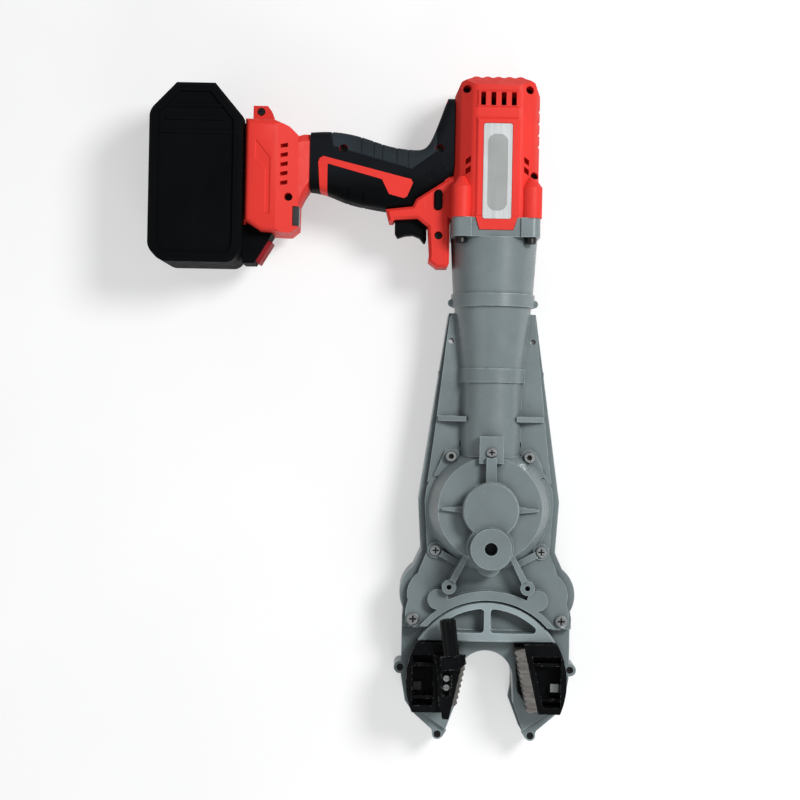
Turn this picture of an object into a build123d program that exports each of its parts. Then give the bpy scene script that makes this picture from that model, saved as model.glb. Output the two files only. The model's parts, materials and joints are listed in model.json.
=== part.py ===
from build123d import *
import math
import os

os.makedirs("parts", exist_ok=True)

# Driving dimensions in millimetres and degrees. X is across the tool, Y runs from the jaws to the
# motor, Z is up from the floor the tool lies on. The origin is on the axis of the turning head.
MODULE = 2.0
RING_TEETH = 56
IDLER_TEETH = 14
MIDDLE_TEETH = 18
DRIVE_TEETH = 48
IDLER_ANGLE = 42.6585
DRIVE_Y = 137.0
PRESSURE = 25.0
TOOTH_TOP = 0.8
TOOTH_FOOT = 1.0
SLACK = 0.35
PINION_TEETH = 12
CROWN_TEETH = 30
BEVEL_FACE = 9.0
BEVEL_RIM = 0.03
PLANET_MODULE = 1.1
SUN_TEETH = 12
PLANET_TEETH = 18
ANNULUS_TEETH = 48
PLANET_COUNT = 3

MOTOR_Z = 40.0
SPLIT_Z = 40.0
FLOOR = 6.0
WALL = 5.0
GAP = 0.4
FIT = 0.05

THROAT_R = 22.0
HEAD_R = 63.0
HUB_R = 52.5
CASE_TOP_Y = 292.0
COVER_TOP_Y = 190.0
COVER_LOW_Y = 41.0
COVER_INSET = 5.0
ARM_Z = 26.0
GUARD_T = 4.0
GEAR_LOW_Z = 9.0
GEAR_TOP_Z = 25.0
COVER_Z = 46.0
LOBE_Z = 52.0
DOME_R = 41.0
DOME_FOOT_R = 49.0
DOME_Z = 65.0
CAP_R = 22.0
CAP_Z = 80.0
HANDLE_BOSS = (0.0, 108.0)
HANDLE_BOSS_R = 16.0
HANDLE_BOSS_Z = 92.0
HANDLE_HOLE_R = 5.1
HANDLE_HOLE_DEPTH = 24.0
SMALL_BOSS = (31.0, 75.0)
SMALL_BOSS_R = 5.7
SMALL_BOSS_Z = 60.0
SMALL_HOLE_R = 2.1
SMALL_HOLE_DEPTH = 14.0
FLANGE_HOLE = (32.6, 270.0)
FLANGE_HOLE_R = 2.2

FLANGE_Y = 366.0
FLANGE_T = 15.0
FLANGE_HALF = 34.8
TUBE_BORE_R = 18.1
ANNULUS_R = 30.0
ANNULUS_LOW_Y = 308.0
ANNULUS_TOP_Y = 350.0

HOUSING_HALF = 33.6
HOUSING_TOP_Y = 476.6
HOUSING_RISE = 34.0
HANDLE_RISE = 19.0
FOOT_RISE = 32.0
SHELL = 3.0
BATTERY_H = 80.0


def at(radius, angle):
    """A point at a radius and an angle in radians."""
    return radius * math.cos(angle), radius * math.sin(angle)


def involute(angle):
    return math.tan(angle) - angle


def flank(pitch_r, base_r, radius, half):
    """Half of the tooth's angle at a radius, from the half angle on the pitch circle."""
    lean = math.acos(min(1.0, base_r / max(radius, base_r)))
    return half + involute(math.radians(PRESSURE)) - involute(lean)


def gear_points(teeth, module, turn, top, foot, slack):
    """Outline of a spur gear: three points on every flank, one tooth centred on the turn."""
    pitch_r = teeth * module / 2
    base_r = pitch_r * math.cos(math.radians(PRESSURE))
    half = (math.pi * module - slack) / (4 * pitch_r)
    radii = (pitch_r - foot, pitch_r, pitch_r + top)
    angles = [flank(pitch_r, base_r, radius, half) for radius in radii]
    points = []
    for tooth in range(teeth):
        middle = turn + 2 * math.pi * tooth / teeth
        points += [at(r, middle - a) for r, a in zip(radii, angles)]
        points += [at(r, middle + a) for r, a in zip(reversed(radii), reversed(angles))]
    return points


def spur(teeth, module, turn):
    """Outline of an outside gear with the shared tooth form."""
    return gear_points(teeth, module, turn, TOOTH_TOP * module, TOOTH_FOOT * module, SLACK)


def meshed(teeth_a, turn_a, centre_a, teeth_b, centre_b):
    """The turn of gear b that sets its gap on a tooth of gear a."""
    line = math.atan2(centre_b[1] - centre_a[1], centre_b[0] - centre_a[0])
    share = 0.5 - teeth_a * (line - turn_a) / (2 * math.pi)
    return line + math.pi - share * 2 * math.pi / teeth_b


def both(points):
    """Points and their mirror images across the middle plane."""
    return [*points, *[(-x, y) for x, y in points]]


def around(points):
    """A closed outline from the points of its right half, top to bottom."""
    return [*points, *[(-x, y) for x, y in reversed(points)]]


def across(y, z=MOTOR_Z, x=0.0):
    """A plane square to the motor axis, looking along +Y."""
    return Plane(origin=(x, y, z), x_dir=(1, 0, 0), z_dir=(0, 1, 0))


def shelf(z):
    return Plane.XY.offset(z)


# The plane that holds the motor axis, local x along the axis and local y up.
AXIS_PLANE = Plane(origin=(0, 0, MOTOR_Z), x_dir=(0, 1, 0), z_dir=(1, 0, 0))
MOTOR_AXIS = Axis((0, 0, MOTOR_Z), (0, 1, 0))

# Places of the spur gears and their turns, the right branch first.
ring_r = RING_TEETH * MODULE / 2
ring_tip = ring_r + TOOTH_TOP * MODULE
idler_reach = (RING_TEETH + IDLER_TEETH) * MODULE / 2
idler_lean = math.radians(IDLER_ANGLE)
idler_at = (idler_reach * math.sin(idler_lean), idler_reach * math.cos(idler_lean))
drive_at = (0.0, DRIVE_Y)
low_span = (IDLER_TEETH + MIDDLE_TEETH) * MODULE / 2
high_span = (MIDDLE_TEETH + DRIVE_TEETH) * MODULE / 2
reach_x = drive_at[0] - idler_at[0]
reach_y = drive_at[1] - idler_at[1]
reach = math.hypot(reach_x, reach_y)
along = (low_span**2 - high_span**2 + reach**2) / (2 * reach)
aside = math.sqrt(max(0.0, low_span**2 - along**2))
middle_at = (
    idler_at[0] + (along * reach_x - aside * reach_y) / reach,
    idler_at[1] + (along * reach_y + aside * reach_x) / reach,
)
ring_turn = math.pi / 2
idler_turn = meshed(RING_TEETH, ring_turn, (0, 0), IDLER_TEETH, idler_at)
middle_turn = meshed(IDLER_TEETH, idler_turn, idler_at, MIDDLE_TEETH, middle_at)
drive_turn = meshed(MIDDLE_TEETH, middle_turn, middle_at, DRIVE_TEETH, drive_at)
drive_tip = DRIVE_TEETH * MODULE / 2 + TOOTH_TOP * MODULE
middle_tip = MIDDLE_TEETH * MODULE / 2 + TOOTH_TOP * MODULE
idler_tip = IDLER_TEETH * MODULE / 2 + TOOTH_TOP * MODULE
chamber_r = ring_tip + 1.0

# Outline of the gear case, right half from the top down, and the throat it leaves open.
case_half = [(34.7, CASE_TOP_Y), (56.3, 142.0), (53.7, 102.0), (60.0, 88.0), (66.0, 56.0)]
case_half += [(67.6, 50.0), (67.6, 0.0), (64.0, -20.0), (57.0, -30.0), (42.4, -42.6), (39.6, -49.0)]
case_half += [(33.5, -49.0), (28.5, -41.0)]
LOBE = (44.0, 68.0)
LOBE_R = 26.0
SIDE_BOSS = (68.4, 6.7)
SIDE_BOSS_R = 5.0
TIP_BOSS = (37.4, -46.6)
TIP_BOSS_R = 4.2
throat_half = [(THROAT_R, 0.0), (THROAT_R, -9.5), (THROAT_R - 1.6, -19.5), (THROAT_R + 6.8, -41.0)]
throat_half += [(THROAT_R + 8.0, -70.0)]
head_half = [(THROAT_R, 0.0), (THROAT_R + 1.0, -20.0), (THROAT_R + 12.0, -50.0), (THROAT_R + 12.0, -80.0)]

TOP_SCREW = (31.0, 178.0)
WAIST_SCREW = (42.0, 103.0)
LOBE_SCREW = (59.0, 48.0)
BLOCK_SCREW = (0.0, 182.0)
SHELF_Z = 27.0
PIN_R = 4.0
OPENING_R = HEAD_R + 1.2
SKIRT_T = 4.0

# The gear tube's outside, Y and radius, from the case end up to the flange.
BAND_LOW = (237.0, 248.0, 26.4)
BAND_HIGH = (297.0, 307.0, 33.4)
TUBE_R = 24.5
tube_outside = [(COVER_TOP_Y + 0.2, TUBE_R), (BAND_LOW[0], TUBE_R), (BAND_LOW[0], BAND_LOW[2])]
tube_outside += [(BAND_LOW[1], BAND_LOW[2]), (BAND_LOW[1], 25.6), (BAND_HIGH[0], 30.8)]
tube_outside += [(BAND_HIGH[0], BAND_HIGH[2]), (BAND_HIGH[1], BAND_HIGH[2]), (BAND_HIGH[1], 32.0)]
tube_outside += [(FLANGE_Y - FLANGE_T, 34.6), (FLANGE_Y, 34.6)]

# Gear case: the pan behind the gears.
pan_half = [(29.5, CASE_TOP_Y - WALL), (50.5, 146.0), (48.5, 102.0), (44.0, 60.0), (0.0, 60.0)]
with BuildPart() as gear_case:
    with BuildSketch():
        Polygon(*around(case_half), align=None)
        with Locations(*both([LOBE])):
            Circle(LOBE_R)
        with Locations(*both([SIDE_BOSS])):
            Circle(SIDE_BOSS_R)
        with Locations(*both([TIP_BOSS])):
            Circle(TIP_BOSS_R)
        Circle(THROAT_R, mode=Mode.SUBTRACT)
        Polygon(*around(throat_half), align=None, mode=Mode.SUBTRACT)
    extrude(amount=SPLIT_Z)
    with BuildSketch(shelf(ARM_Z)):
        with Locations((0, COVER_LOW_Y - 60)):
            Rectangle(180, 120)
        Circle(HEAD_R + 1.5)
    extrude(amount=SPLIT_Z, mode=Mode.SUBTRACT)
    with BuildSketch(shelf(ARM_Z)):
        Circle(OPENING_R + SKIRT_T + GAP)
        Rectangle(90, 160, mode=Mode.INTERSECT)
    extrude(amount=SPLIT_Z, mode=Mode.SUBTRACT)
    with BuildSketch(shelf(FLOOR)):
        Circle(chamber_r)
        Polygon(*around(pan_half), align=None)
        with Locations(*both([idler_at])):
            Circle(idler_tip + 1.2)
        with Locations(*both([middle_at])):
            Circle(middle_tip + 1.2)
        with Locations(drive_at):
            Circle(drive_tip + 1.2)
    extrude(amount=SPLIT_Z, mode=Mode.SUBTRACT)
    # Cradles under the tube, and shelves that take the cover's screws.
    with BuildSketch(shelf(FLOOR)):
        with Locations((0, COVER_TOP_Y + 4), (0, 242)):
            Rectangle(84, 8)
        with Locations(*both([FLANGE_HOLE])):
            Circle(3.9)
    extrude(amount=SPLIT_Z - FLOOR)
    with BuildSketch(shelf(SHELF_Z)):
        with Locations(*both([TOP_SCREW, WAIST_SCREW, LOBE_SCREW])):
            Circle(5.0)
        with Locations(*both([(31.0, 184.5)])):
            Rectangle(10, 13)
        with Locations(*both([(47.5, 104.0)])):
            Rectangle(11, 10)
        with Locations(*both([(63.5, 50.0)])):
            Rectangle(7, 9)
    extrude(amount=SPLIT_Z - SHELF_Z)
    with BuildSketch(AXIS_PLANE):
        reamed = [(y, r + GAP / 2) for y, r in tube_outside]
        reamed[0] = (COVER_TOP_Y - 0.1, reamed[0][1])
        Polygon((COVER_TOP_Y - 0.1, 0), *reamed, (FLANGE_Y, 0), align=None)
    revolve(axis=MOTOR_AXIS, mode=Mode.SUBTRACT)
    with BuildSketch(across(COVER_TOP_Y - 6)):
        Circle(TUBE_BORE_R)
    extrude(amount=20, mode=Mode.SUBTRACT)
    with BuildSketch(shelf(SPLIT_Z)):
        with Locations(*both([TOP_SCREW, WAIST_SCREW, LOBE_SCREW])):
            Circle(2.0)
    extrude(amount=-12, mode=Mode.SUBTRACT)
    with BuildSketch():
        with Locations(*both([FLANGE_HOLE])):
            Circle(FLANGE_HOLE_R)
    extrude(amount=SPLIT_Z, mode=Mode.SUBTRACT)
    with BuildSketch(shelf(ARM_Z)):
        with Locations(*both([SIDE_BOSS, TIP_BOSS])):
            Circle(1.65)
    extrude(amount=-16, mode=Mode.SUBTRACT)
    # Seats for the drive shaft's rear bearing and for the gear pins.
    with BuildSketch():
        with Locations(drive_at):
            Circle(14.0)
    extrude(amount=FLOOR + 2.4)
    with BuildSketch(shelf(2.0)):
        with Locations(drive_at):
            Circle(11.0 + FIT)
    extrude(amount=20, mode=Mode.SUBTRACT)
    with BuildSketch(shelf(FLOOR)):
        with Locations(*both([idler_at, middle_at])):
            Circle(7.0)
    extrude(amount=GEAR_LOW_Z - FLOOR - GAP)
    with BuildSketch(shelf(1.5)):
        with Locations(*both([idler_at, middle_at])):
            Circle(PIN_R + FIT)
    extrude(amount=20, mode=Mode.SUBTRACT)
gear_case.part.label = "gear_case"
export_step(gear_case.part, "parts/gear_case.step")

# Outline of the front cover, which the tube's side plate runs round.
cover_half = [(22.0, COVER_TOP_Y), (25.0, 184.0), (36.8, 180.6), (50.0, 153.0), (51.3, 142.0)]
cover_half += [(48.7, 102.0), (54.0, 89.0), (63.4, 62.0), (65.2, 54.0), (65.0, 45.0), (58.0, COVER_LOW_Y)]
cover_half += [(20.0, COVER_LOW_Y)]
EAR_R = 6.3
LOBE_FACE_R = 20.0
with BuildSketch() as cover_outline:
    Polygon(*around(cover_half), align=None)
    with Locations(*both([TOP_SCREW])):
        Circle(EAR_R)
    with Locations(*both([LOBE])):
        Circle(LOBE_FACE_R)
DOME_LEAN = math.degrees(math.atan((DOME_FOOT_R - DOME_R) / (DOME_Z - COVER_Z)))

# Gear tube: the cast tube round the planetary stages, with its flange, bands, side plate and ribs.
RIB_Y = 208.0
PLATE_LOW_Y = 157.0
plate_half = [(31.0, CASE_TOP_Y), (34.2, CASE_TOP_Y - 3), (45.2, COVER_TOP_Y + 0.2), (49.5, PLATE_LOW_Y)]
EAR = (33.0, 300.0)
FLANGE_SCREW = 27.5
flange_spots = [(x, y) for x in (-FLANGE_SCREW, FLANGE_SCREW) for y in (-FLANGE_SCREW, FLANGE_SCREW)]
TUBE_STEP_Y = 307.0
with BuildPart() as gear_tube:
    with BuildSketch(shelf(SPLIT_Z)):
        Polygon(*around(plate_half), align=None)
        with Locations(*both([EAR])):
            Circle(3.0)
        with Locations((0, COVER_TOP_Y + 0.2 - 50)):
            Rectangle(2 * TUBE_R + GAP, 100, mode=Mode.SUBTRACT)
        offset(cover_outline.sketch, amount=GAP / 2, mode=Mode.SUBTRACT, kind=Kind.INTERSECTION)
    extrude(amount=COVER_Z - SPLIT_Z - 1)
    for side in (-1, 1):
        with BuildSketch(across(RIB_Y - 2)):
            Polygon((side * 20, 0), (side * 42, 0), (side * 42, -8), (side * 20, -17), align=None)
        extrude(amount=4)
    with BuildSketch(AXIS_PLANE):
        Polygon((tube_outside[0][0], 0), *tube_outside, (FLANGE_Y, 0), align=None)
    revolve(axis=MOTOR_AXIS)
    # Collar over the cover, cut to the dome's sloping side, with the hole for the block's screw.
    with BuildSketch(across(tube_outside[0][0])):
        Circle(TUBE_R)
        with Locations((0, TUBE_R - (COVER_Z + GAP / 2 - MOTOR_Z))):
            Rectangle(3 * TUBE_R, 2 * TUBE_R, mode=Mode.SUBTRACT)
    extrude(amount=DRIVE_Y + DOME_R - 8 - tube_outside[0][0])
    with BuildSketch(shelf(COVER_Z)):
        with Locations(drive_at):
            Circle(DOME_FOOT_R + 0.3)
    extrude(amount=DOME_Z - COVER_Z, taper=DOME_LEAN, mode=Mode.SUBTRACT)
    with BuildSketch(shelf(DOME_Z)):
        with Locations(BLOCK_SCREW):
            Circle(2.1)
    extrude(amount=-8, mode=Mode.SUBTRACT)
    with BuildSketch(across(FLANGE_Y - FLANGE_T)):
        RectangleRounded(2 * FLANGE_HALF, 2 * FLANGE_HALF, 7)
    extrude(amount=FLANGE_T)
    with BuildSketch(across(0)):
        Circle(TUBE_BORE_R)
    extrude(amount=FLANGE_Y, mode=Mode.SUBTRACT)
    with BuildSketch(across(TUBE_STEP_Y)):
        Circle(ANNULUS_R + FIT)
    extrude(amount=FLANGE_Y, mode=Mode.SUBTRACT)
    with BuildSketch(across(FLANGE_Y - FLANGE_T)):
        with Locations(*flange_spots):
            Circle(2.6)
    extrude(amount=FLANGE_T, mode=Mode.SUBTRACT)
    with BuildSketch(shelf(MOTOR_Z + FLANGE_HALF)):
        Polygon(*around([(16.5, FLANGE_Y), (13.5, FLANGE_Y - 10)]), align=None)
    extrude(amount=-3.2, mode=Mode.SUBTRACT)
    with BuildSketch(shelf(MOTOR_Z + FLANGE_HALF)):
        with Locations((0, FLANGE_Y - FLANGE_T / 2)):
            Rectangle(39, FLANGE_T)
    extrude(amount=-1.6, mode=Mode.SUBTRACT)
    with BuildSketch(shelf(SPLIT_Z)):
        with Locations(*both([FLANGE_HOLE])):
            Circle(FLANGE_HOLE_R)
    extrude(amount=20, mode=Mode.SUBTRACT)
gear_tube.part.label = "gear_tube"
export_step(gear_tube.part, "parts/gear_tube.step")

# Front cover: lobes over the gears, dome over the bevel gear, bearing cap and the tool's bosses.
DOME_ROOM_R = 36.0
BROW_R = 71.8
BROW_RISE = 1.6
BROW_END = (39.5, 64.5)
BROW_END_R = 8.2
RIM_R = 68.8
BLOCK_W = 19.0
BLOCK_Y = (173.3, 194.6)
STEM_R = 10.0
STEM_Z = 62.0
BEARING_FRONT_R = 13.0
BEARING_FRONT_Z = 64.0
BEARING_T = 8.0
lobe_half = [(62.6, 64.0), (62.4, 42.0), (44.0, 42.0), (40.0, 72.0)]
ear_half = [(37.2, 179.2), (44.5, 162.0), (33.0, 163.0), (24.8, 181.0)]
with BuildPart() as front_cover:
    with BuildSketch(shelf(SPLIT_Z)):
        add(cover_outline.sketch)
    extrude(amount=COVER_Z - SPLIT_Z)
    with BuildSketch(shelf(COVER_Z)):
        Polygon(*lobe_half, align=None)
        Polygon(*[(-x, y) for x, y in reversed(lobe_half)], align=None)
        with Locations(*both([LOBE])):
            Circle(LOBE_FACE_R - 1)
    extrude(amount=LOBE_Z - COVER_Z, taper=8)
    # Brow over the turning head with its round ends, the rim below it, and the dome's sloping side.
    with BuildSketch(shelf(COVER_Z)):
        Circle(BROW_R)
        with Locations((0, 80)):
            Rectangle(2 * BROW_END[0], 60, mode=Mode.INTERSECT)
        with Locations(*both([BROW_END])):
            Circle(BROW_END_R)
    extrude(amount=LOBE_Z + BROW_RISE - COVER_Z)
    with BuildSketch(shelf(COVER_Z)):
        Circle(RIM_R)
        with Locations((0, 93)):
            Rectangle(112, 100, mode=Mode.INTERSECT)
    extrude(amount=LOBE_Z + BROW_RISE - COVER_Z)
    with BuildSketch(shelf(COVER_Z)):
        with Locations(drive_at):
            Circle(DOME_FOOT_R)
    extrude(amount=DOME_Z - COVER_Z, taper=DOME_LEAN)
    with BuildSketch(shelf(COVER_Z)):
        with Locations(drive_at):
            Circle(CAP_R)
        with Locations(HANDLE_BOSS):
            Circle(HANDLE_BOSS_R + 2.2)
    extrude(amount=CAP_Z - COVER_Z - 1)
    with BuildSketch(shelf(COVER_Z)):
        with Locations((0, HANDLE_BOSS[1] - HANDLE_BOSS_R + 2)):
            Circle(STEM_R)
    extrude(amount=STEM_Z - COVER_Z)
    with BuildSketch(shelf(CAP_Z - 1)):
        with Locations(drive_at):
            Circle(CAP_R)
    extrude(amount=1, taper=45)
    with BuildSketch(shelf(COVER_Z)):
        with Locations(HANDLE_BOSS):
            Circle(HANDLE_BOSS_R)
    extrude(amount=HANDLE_BOSS_Z - COVER_Z)
    # Ribs from the handle boss to the small bosses, side ribs on the dome, the block and its rib.
    for side in (-1, 1):
        with BuildSketch(shelf(COVER_Z)):
            Polygon(
                (side * 9, HANDLE_BOSS[1] + 6),
                (side * 15.5, HANDLE_BOSS[1] + 1),
                (side * (SMALL_BOSS[0] + 2.2), SMALL_BOSS[1] + 1.5),
                (side * (SMALL_BOSS[0] - 2.6), SMALL_BOSS[1] - 0.8),
                align=None,
            )
        extrude(amount=SMALL_BOSS_Z - COVER_Z + 3)
        with BuildSketch(shelf(DOME_Z - 6)):
            Polygon(
                (side * 15, DRIVE_Y - 3.2),
                (side * 38, DRIVE_Y - 0.8),
                (side * 38, DRIVE_Y + 0.8),
                (side * 15, DRIVE_Y + 3.2),
                align=None,
            )
        extrude(amount=10)
        with BuildSketch(shelf(COVER_Z)):
            Polygon((side * 42, 106), (side * 42, 100), (side * 24, 90.5), (side * 22, 95), align=None)
        extrude(amount=5)
        with BuildSketch(shelf(COVER_Z)):
            Polygon(*[(side * x, y) for x, y in ear_half], align=None)
        extrude(amount=2)
    with BuildSketch(shelf(SMALL_BOSS_Z)):
        with Locations(*both([SMALL_BOSS])):
            Circle(SMALL_BOSS_R + 0.2)
    extrude(amount=20, mode=Mode.SUBTRACT)
    with BuildSketch(shelf(COVER_Z)):
        with Locations(*both([TOP_SCREW, WAIST_SCREW])):
            Circle(EAR_R)
    extrude(amount=2)
    with BuildSketch(shelf(COVER_Z)):
        with Locations(*both([SMALL_BOSS])):
            Circle(SMALL_BOSS_R)
    extrude(amount=SMALL_BOSS_Z - COVER_Z)
    with BuildSketch(shelf(DOME_Z - 4)):
        with Locations((0, BLOCK_Y[0])):
            Rectangle(BLOCK_W, 3.9, align=(Align.CENTER, Align.MIN))
    extrude(amount=9)
    with BuildSketch(shelf(MOTOR_Z + TUBE_R + GAP / 2)):
        with Locations((0, BLOCK_Y[0])):
            Rectangle(BLOCK_W, BLOCK_Y[1] - BLOCK_Y[0], align=(Align.CENTER, Align.MIN))
    extrude(amount=DOME_Z + 5 - MOTOR_Z - TUBE_R - GAP / 2)
    with BuildSketch(shelf(COVER_Z)):
        with Locations((0, 165.5)):
            Rectangle(8, 25)
    extrude(amount=DOME_Z + 9 - COVER_Z)
    # Skirt and lip round the turning head, and the posts that hold the gear pins.
    with BuildSketch(shelf(ARM_Z)):
        Circle(OPENING_R + SKIRT_T)
        with Locations((0, COVER_LOW_Y - 100)):
            Rectangle(200, 200, mode=Mode.SUBTRACT)
        with Locations(*both([idler_at, middle_at])):
            Circle(5.7)
    extrude(amount=SPLIT_Z - ARM_Z)
    with BuildSketch(shelf(ARM_Z)):
        Circle(HUB_R + GAP)
    extrude(amount=60, mode=Mode.SUBTRACT)
    with BuildSketch(shelf(ARM_Z + GUARD_T)):
        Circle(OPENING_R)
    extrude(amount=60, mode=Mode.SUBTRACT)
    with BuildSketch(shelf(SPLIT_Z)):
        with Locations(drive_at):
            Circle(DOME_ROOM_R)
    extrude(amount=61.4 - SPLIT_Z, mode=Mode.SUBTRACT)
    with BuildSketch(shelf(SPLIT_Z)):
        with Locations(drive_at):
            Circle(BEARING_FRONT_R + FIT)
    extrude(amount=BEARING_FRONT_Z + BEARING_T - SPLIT_Z, mode=Mode.SUBTRACT)
    with BuildSketch(shelf(SPLIT_Z)):
        with Locations(drive_at):
            Circle(7.0)
    extrude(amount=76 - SPLIT_Z, mode=Mode.SUBTRACT)
    with BuildSketch(across(COVER_TOP_Y)):
        Circle(TUBE_BORE_R)
    extrude(amount=-40, mode=Mode.SUBTRACT)
    with BuildSketch(shelf(ARM_Z)):
        with Locations(*both([idler_at, middle_at])):
            Circle(PIN_R + FIT)
    extrude(amount=12, mode=Mode.SUBTRACT)
    with BuildSketch(shelf(HANDLE_BOSS_Z)):
        with Locations(HANDLE_BOSS):
            Circle(HANDLE_HOLE_R)
    extrude(amount=-HANDLE_HOLE_DEPTH, mode=Mode.SUBTRACT)
    with BuildSketch(shelf(SMALL_BOSS_Z)):
        with Locations(*both([SMALL_BOSS])):
            Circle(SMALL_HOLE_R)
    extrude(amount=-SMALL_HOLE_DEPTH, mode=Mode.SUBTRACT)
    with BuildSketch(shelf(COVER_Z)):
        with Locations(*both([LOBE_SCREW])):
            Circle(6.2)
    extrude(amount=20, mode=Mode.SUBTRACT)
    with BuildSketch(shelf(SPLIT_Z)):
        with Locations(*both([TOP_SCREW, WAIST_SCREW, LOBE_SCREW])):
            Circle(2.7)
    extrude(amount=30, mode=Mode.SUBTRACT)
    with BuildSketch(shelf(COVER_Z + 2)):
        with Locations(*both([TOP_SCREW, WAIST_SCREW])):
            Circle(4.8)
    extrude(amount=30, mode=Mode.SUBTRACT)
    with BuildSketch(shelf(DOME_Z + 5)):
        with Locations(BLOCK_SCREW):
            Circle(2.1)
    extrude(amount=-10, mode=Mode.SUBTRACT)
    with BuildSketch(shelf(DOME_Z + 9)):
        with Locations((0, BLOCK_SCREW[1])):
            Circle(4.6)
    extrude(amount=-4, mode=Mode.SUBTRACT)
front_cover.part.label = "front_cover"
export_step(front_cover.part, "parts/front_cover.step")

# Arm guards: the plates that close the two arms over the ring gear.
for name, side in (("arm_guard_left", -1), ("arm_guard_right", 1)):
    with BuildPart() as arm_guard:
        with BuildSketch(shelf(ARM_Z)):
            arm_half = [(0, 40.6), (67.6, 40.6), *case_half[6:], (0, -41)]
            Polygon(*[(side * x, y) for x, y in arm_half], align=None)
            with Locations((side * SIDE_BOSS[0], SIDE_BOSS[1])):
                Circle(SIDE_BOSS_R)
            with Locations((side * TIP_BOSS[0], TIP_BOSS[1])):
                Circle(TIP_BOSS_R)
            Circle(HUB_R + GAP, mode=Mode.SUBTRACT)
            Polygon(*around(throat_half), align=None, mode=Mode.SUBTRACT)
        extrude(amount=GUARD_T)
        with BuildSketch(shelf(ARM_Z)):
            with Locations((side * SIDE_BOSS[0], SIDE_BOSS[1]), (side * TIP_BOSS[0], TIP_BOSS[1])):
                Circle(1.8)
        extrude(amount=GUARD_T, mode=Mode.SUBTRACT)
        with BuildSketch(shelf(ARM_Z + GUARD_T)):
            with Locations((side * SIDE_BOSS[0], SIDE_BOSS[1]), (side * TIP_BOSS[0], TIP_BOSS[1])):
                Circle(2.9)
        extrude(amount=-2.2, mode=Mode.SUBTRACT)
    arm_guard.part.label = name
    export_step(arm_guard.part, f"parts/{name}.step")

# Screws of the gear head, each kind as one group.
with BuildPart() as guard_screws:
    with BuildSketch(shelf(ARM_Z + GUARD_T - 2.2)):
        with Locations(*both([SIDE_BOSS, TIP_BOSS])):
            Circle(2.7)
    extrude(amount=1.6)
    with BuildSketch(shelf(ARM_Z + GUARD_T - 2.2)):
        with Locations(*both([SIDE_BOSS, TIP_BOSS])):
            Circle(1.6)
    extrude(amount=-14)
    with BuildSketch(shelf(ARM_Z + GUARD_T - 0.6)):
        with Locations(*both([SIDE_BOSS, TIP_BOSS])):
            RegularPolygon(1.5, 6)
    extrude(amount=-1.2, mode=Mode.SUBTRACT)
guard_screws.part.label = "guard_screws"
export_step(guard_screws.part, "parts/guard_screws.step")

with BuildPart() as cap_screws:
    with BuildSketch(shelf(COVER_Z + 2)):
        with Locations(*both([TOP_SCREW])):
            Circle(4.25)
    extrude(amount=5)
    with BuildSketch(shelf(COVER_Z + 2)):
        with Locations(*both([TOP_SCREW])):
            Circle(1.95)
    extrude(amount=-18)
    with BuildSketch(shelf(COVER_Z + 7)):
        with Locations(*both([TOP_SCREW])):
            RegularPolygon(2.3, 6)
    extrude(amount=-2.5, mode=Mode.SUBTRACT)
    with BuildSketch(across(FLANGE_Y - FLANGE_T)):
        with Locations(*flange_spots):
            Circle(4.25)
    extrude(amount=-5)
    with BuildSketch(across(FLANGE_Y - FLANGE_T)):
        with Locations(*flange_spots):
            Circle(2.5)
    extrude(amount=FLANGE_T + 12)
    with BuildSketch(across(FLANGE_Y - FLANGE_T - 5)):
        with Locations(*flange_spots):
            RegularPolygon(2.3, 6)
    extrude(amount=2.5, mode=Mode.SUBTRACT)
cap_screws.part.label = "cap_screws"
export_step(cap_screws.part, "parts/cap_screws.step")

CROSS_HEAD = [(WAIST_SCREW, COVER_Z + 2, 4.4), (LOBE_SCREW, COVER_Z, 5.0)]
with BuildPart() as cover_cross_screws:
    for spot, seat, head_r in CROSS_HEAD:
        with BuildSketch(shelf(seat)):
            with Locations(*both([spot])):
                Circle(head_r)
        extrude(amount=2.6, taper=12)
        with BuildSketch(shelf(seat)):
            with Locations(*both([spot])):
                Circle(1.95)
        extrude(amount=SPLIT_Z - 10 - seat)
        with BuildSketch(shelf(seat + 2.6)):
            with Locations(*both([spot])):
                Rectangle(4.4, 1.0)
                Rectangle(1.0, 4.4)
        extrude(amount=-1.5, mode=Mode.SUBTRACT)
    with BuildSketch(shelf(DOME_Z + 5)):
        with Locations(BLOCK_SCREW):
            Circle(4.0)
    extrude(amount=2.6, taper=12)
    with BuildSketch(shelf(DOME_Z + 5)):
        with Locations(BLOCK_SCREW):
            Circle(2.0)
    extrude(amount=-9)
    with BuildSketch(shelf(DOME_Z + 7.6)):
        with Locations(BLOCK_SCREW):
            Rectangle(4.4, 1.0)
            Rectangle(1.0, 4.4)
    extrude(amount=-1.5, mode=Mode.SUBTRACT)
cover_cross_screws.part.label = "cover_cross_screws"
export_step(cover_cross_screws.part, "parts/cover_cross_screws.step")

# Spur train, ring to drive gear. Pins hold the idlers and middle gears.
with BuildPart() as gear_pins:
    with BuildSketch(shelf(1.6)):
        with Locations(*both([idler_at, middle_at])):
            Circle(PIN_R)
    extrude(amount=ARM_Z + 10 - 1.6)
gear_pins.part.label = "gear_pins"
export_step(gear_pins.part, "parts/gear_pins.step")

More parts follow.
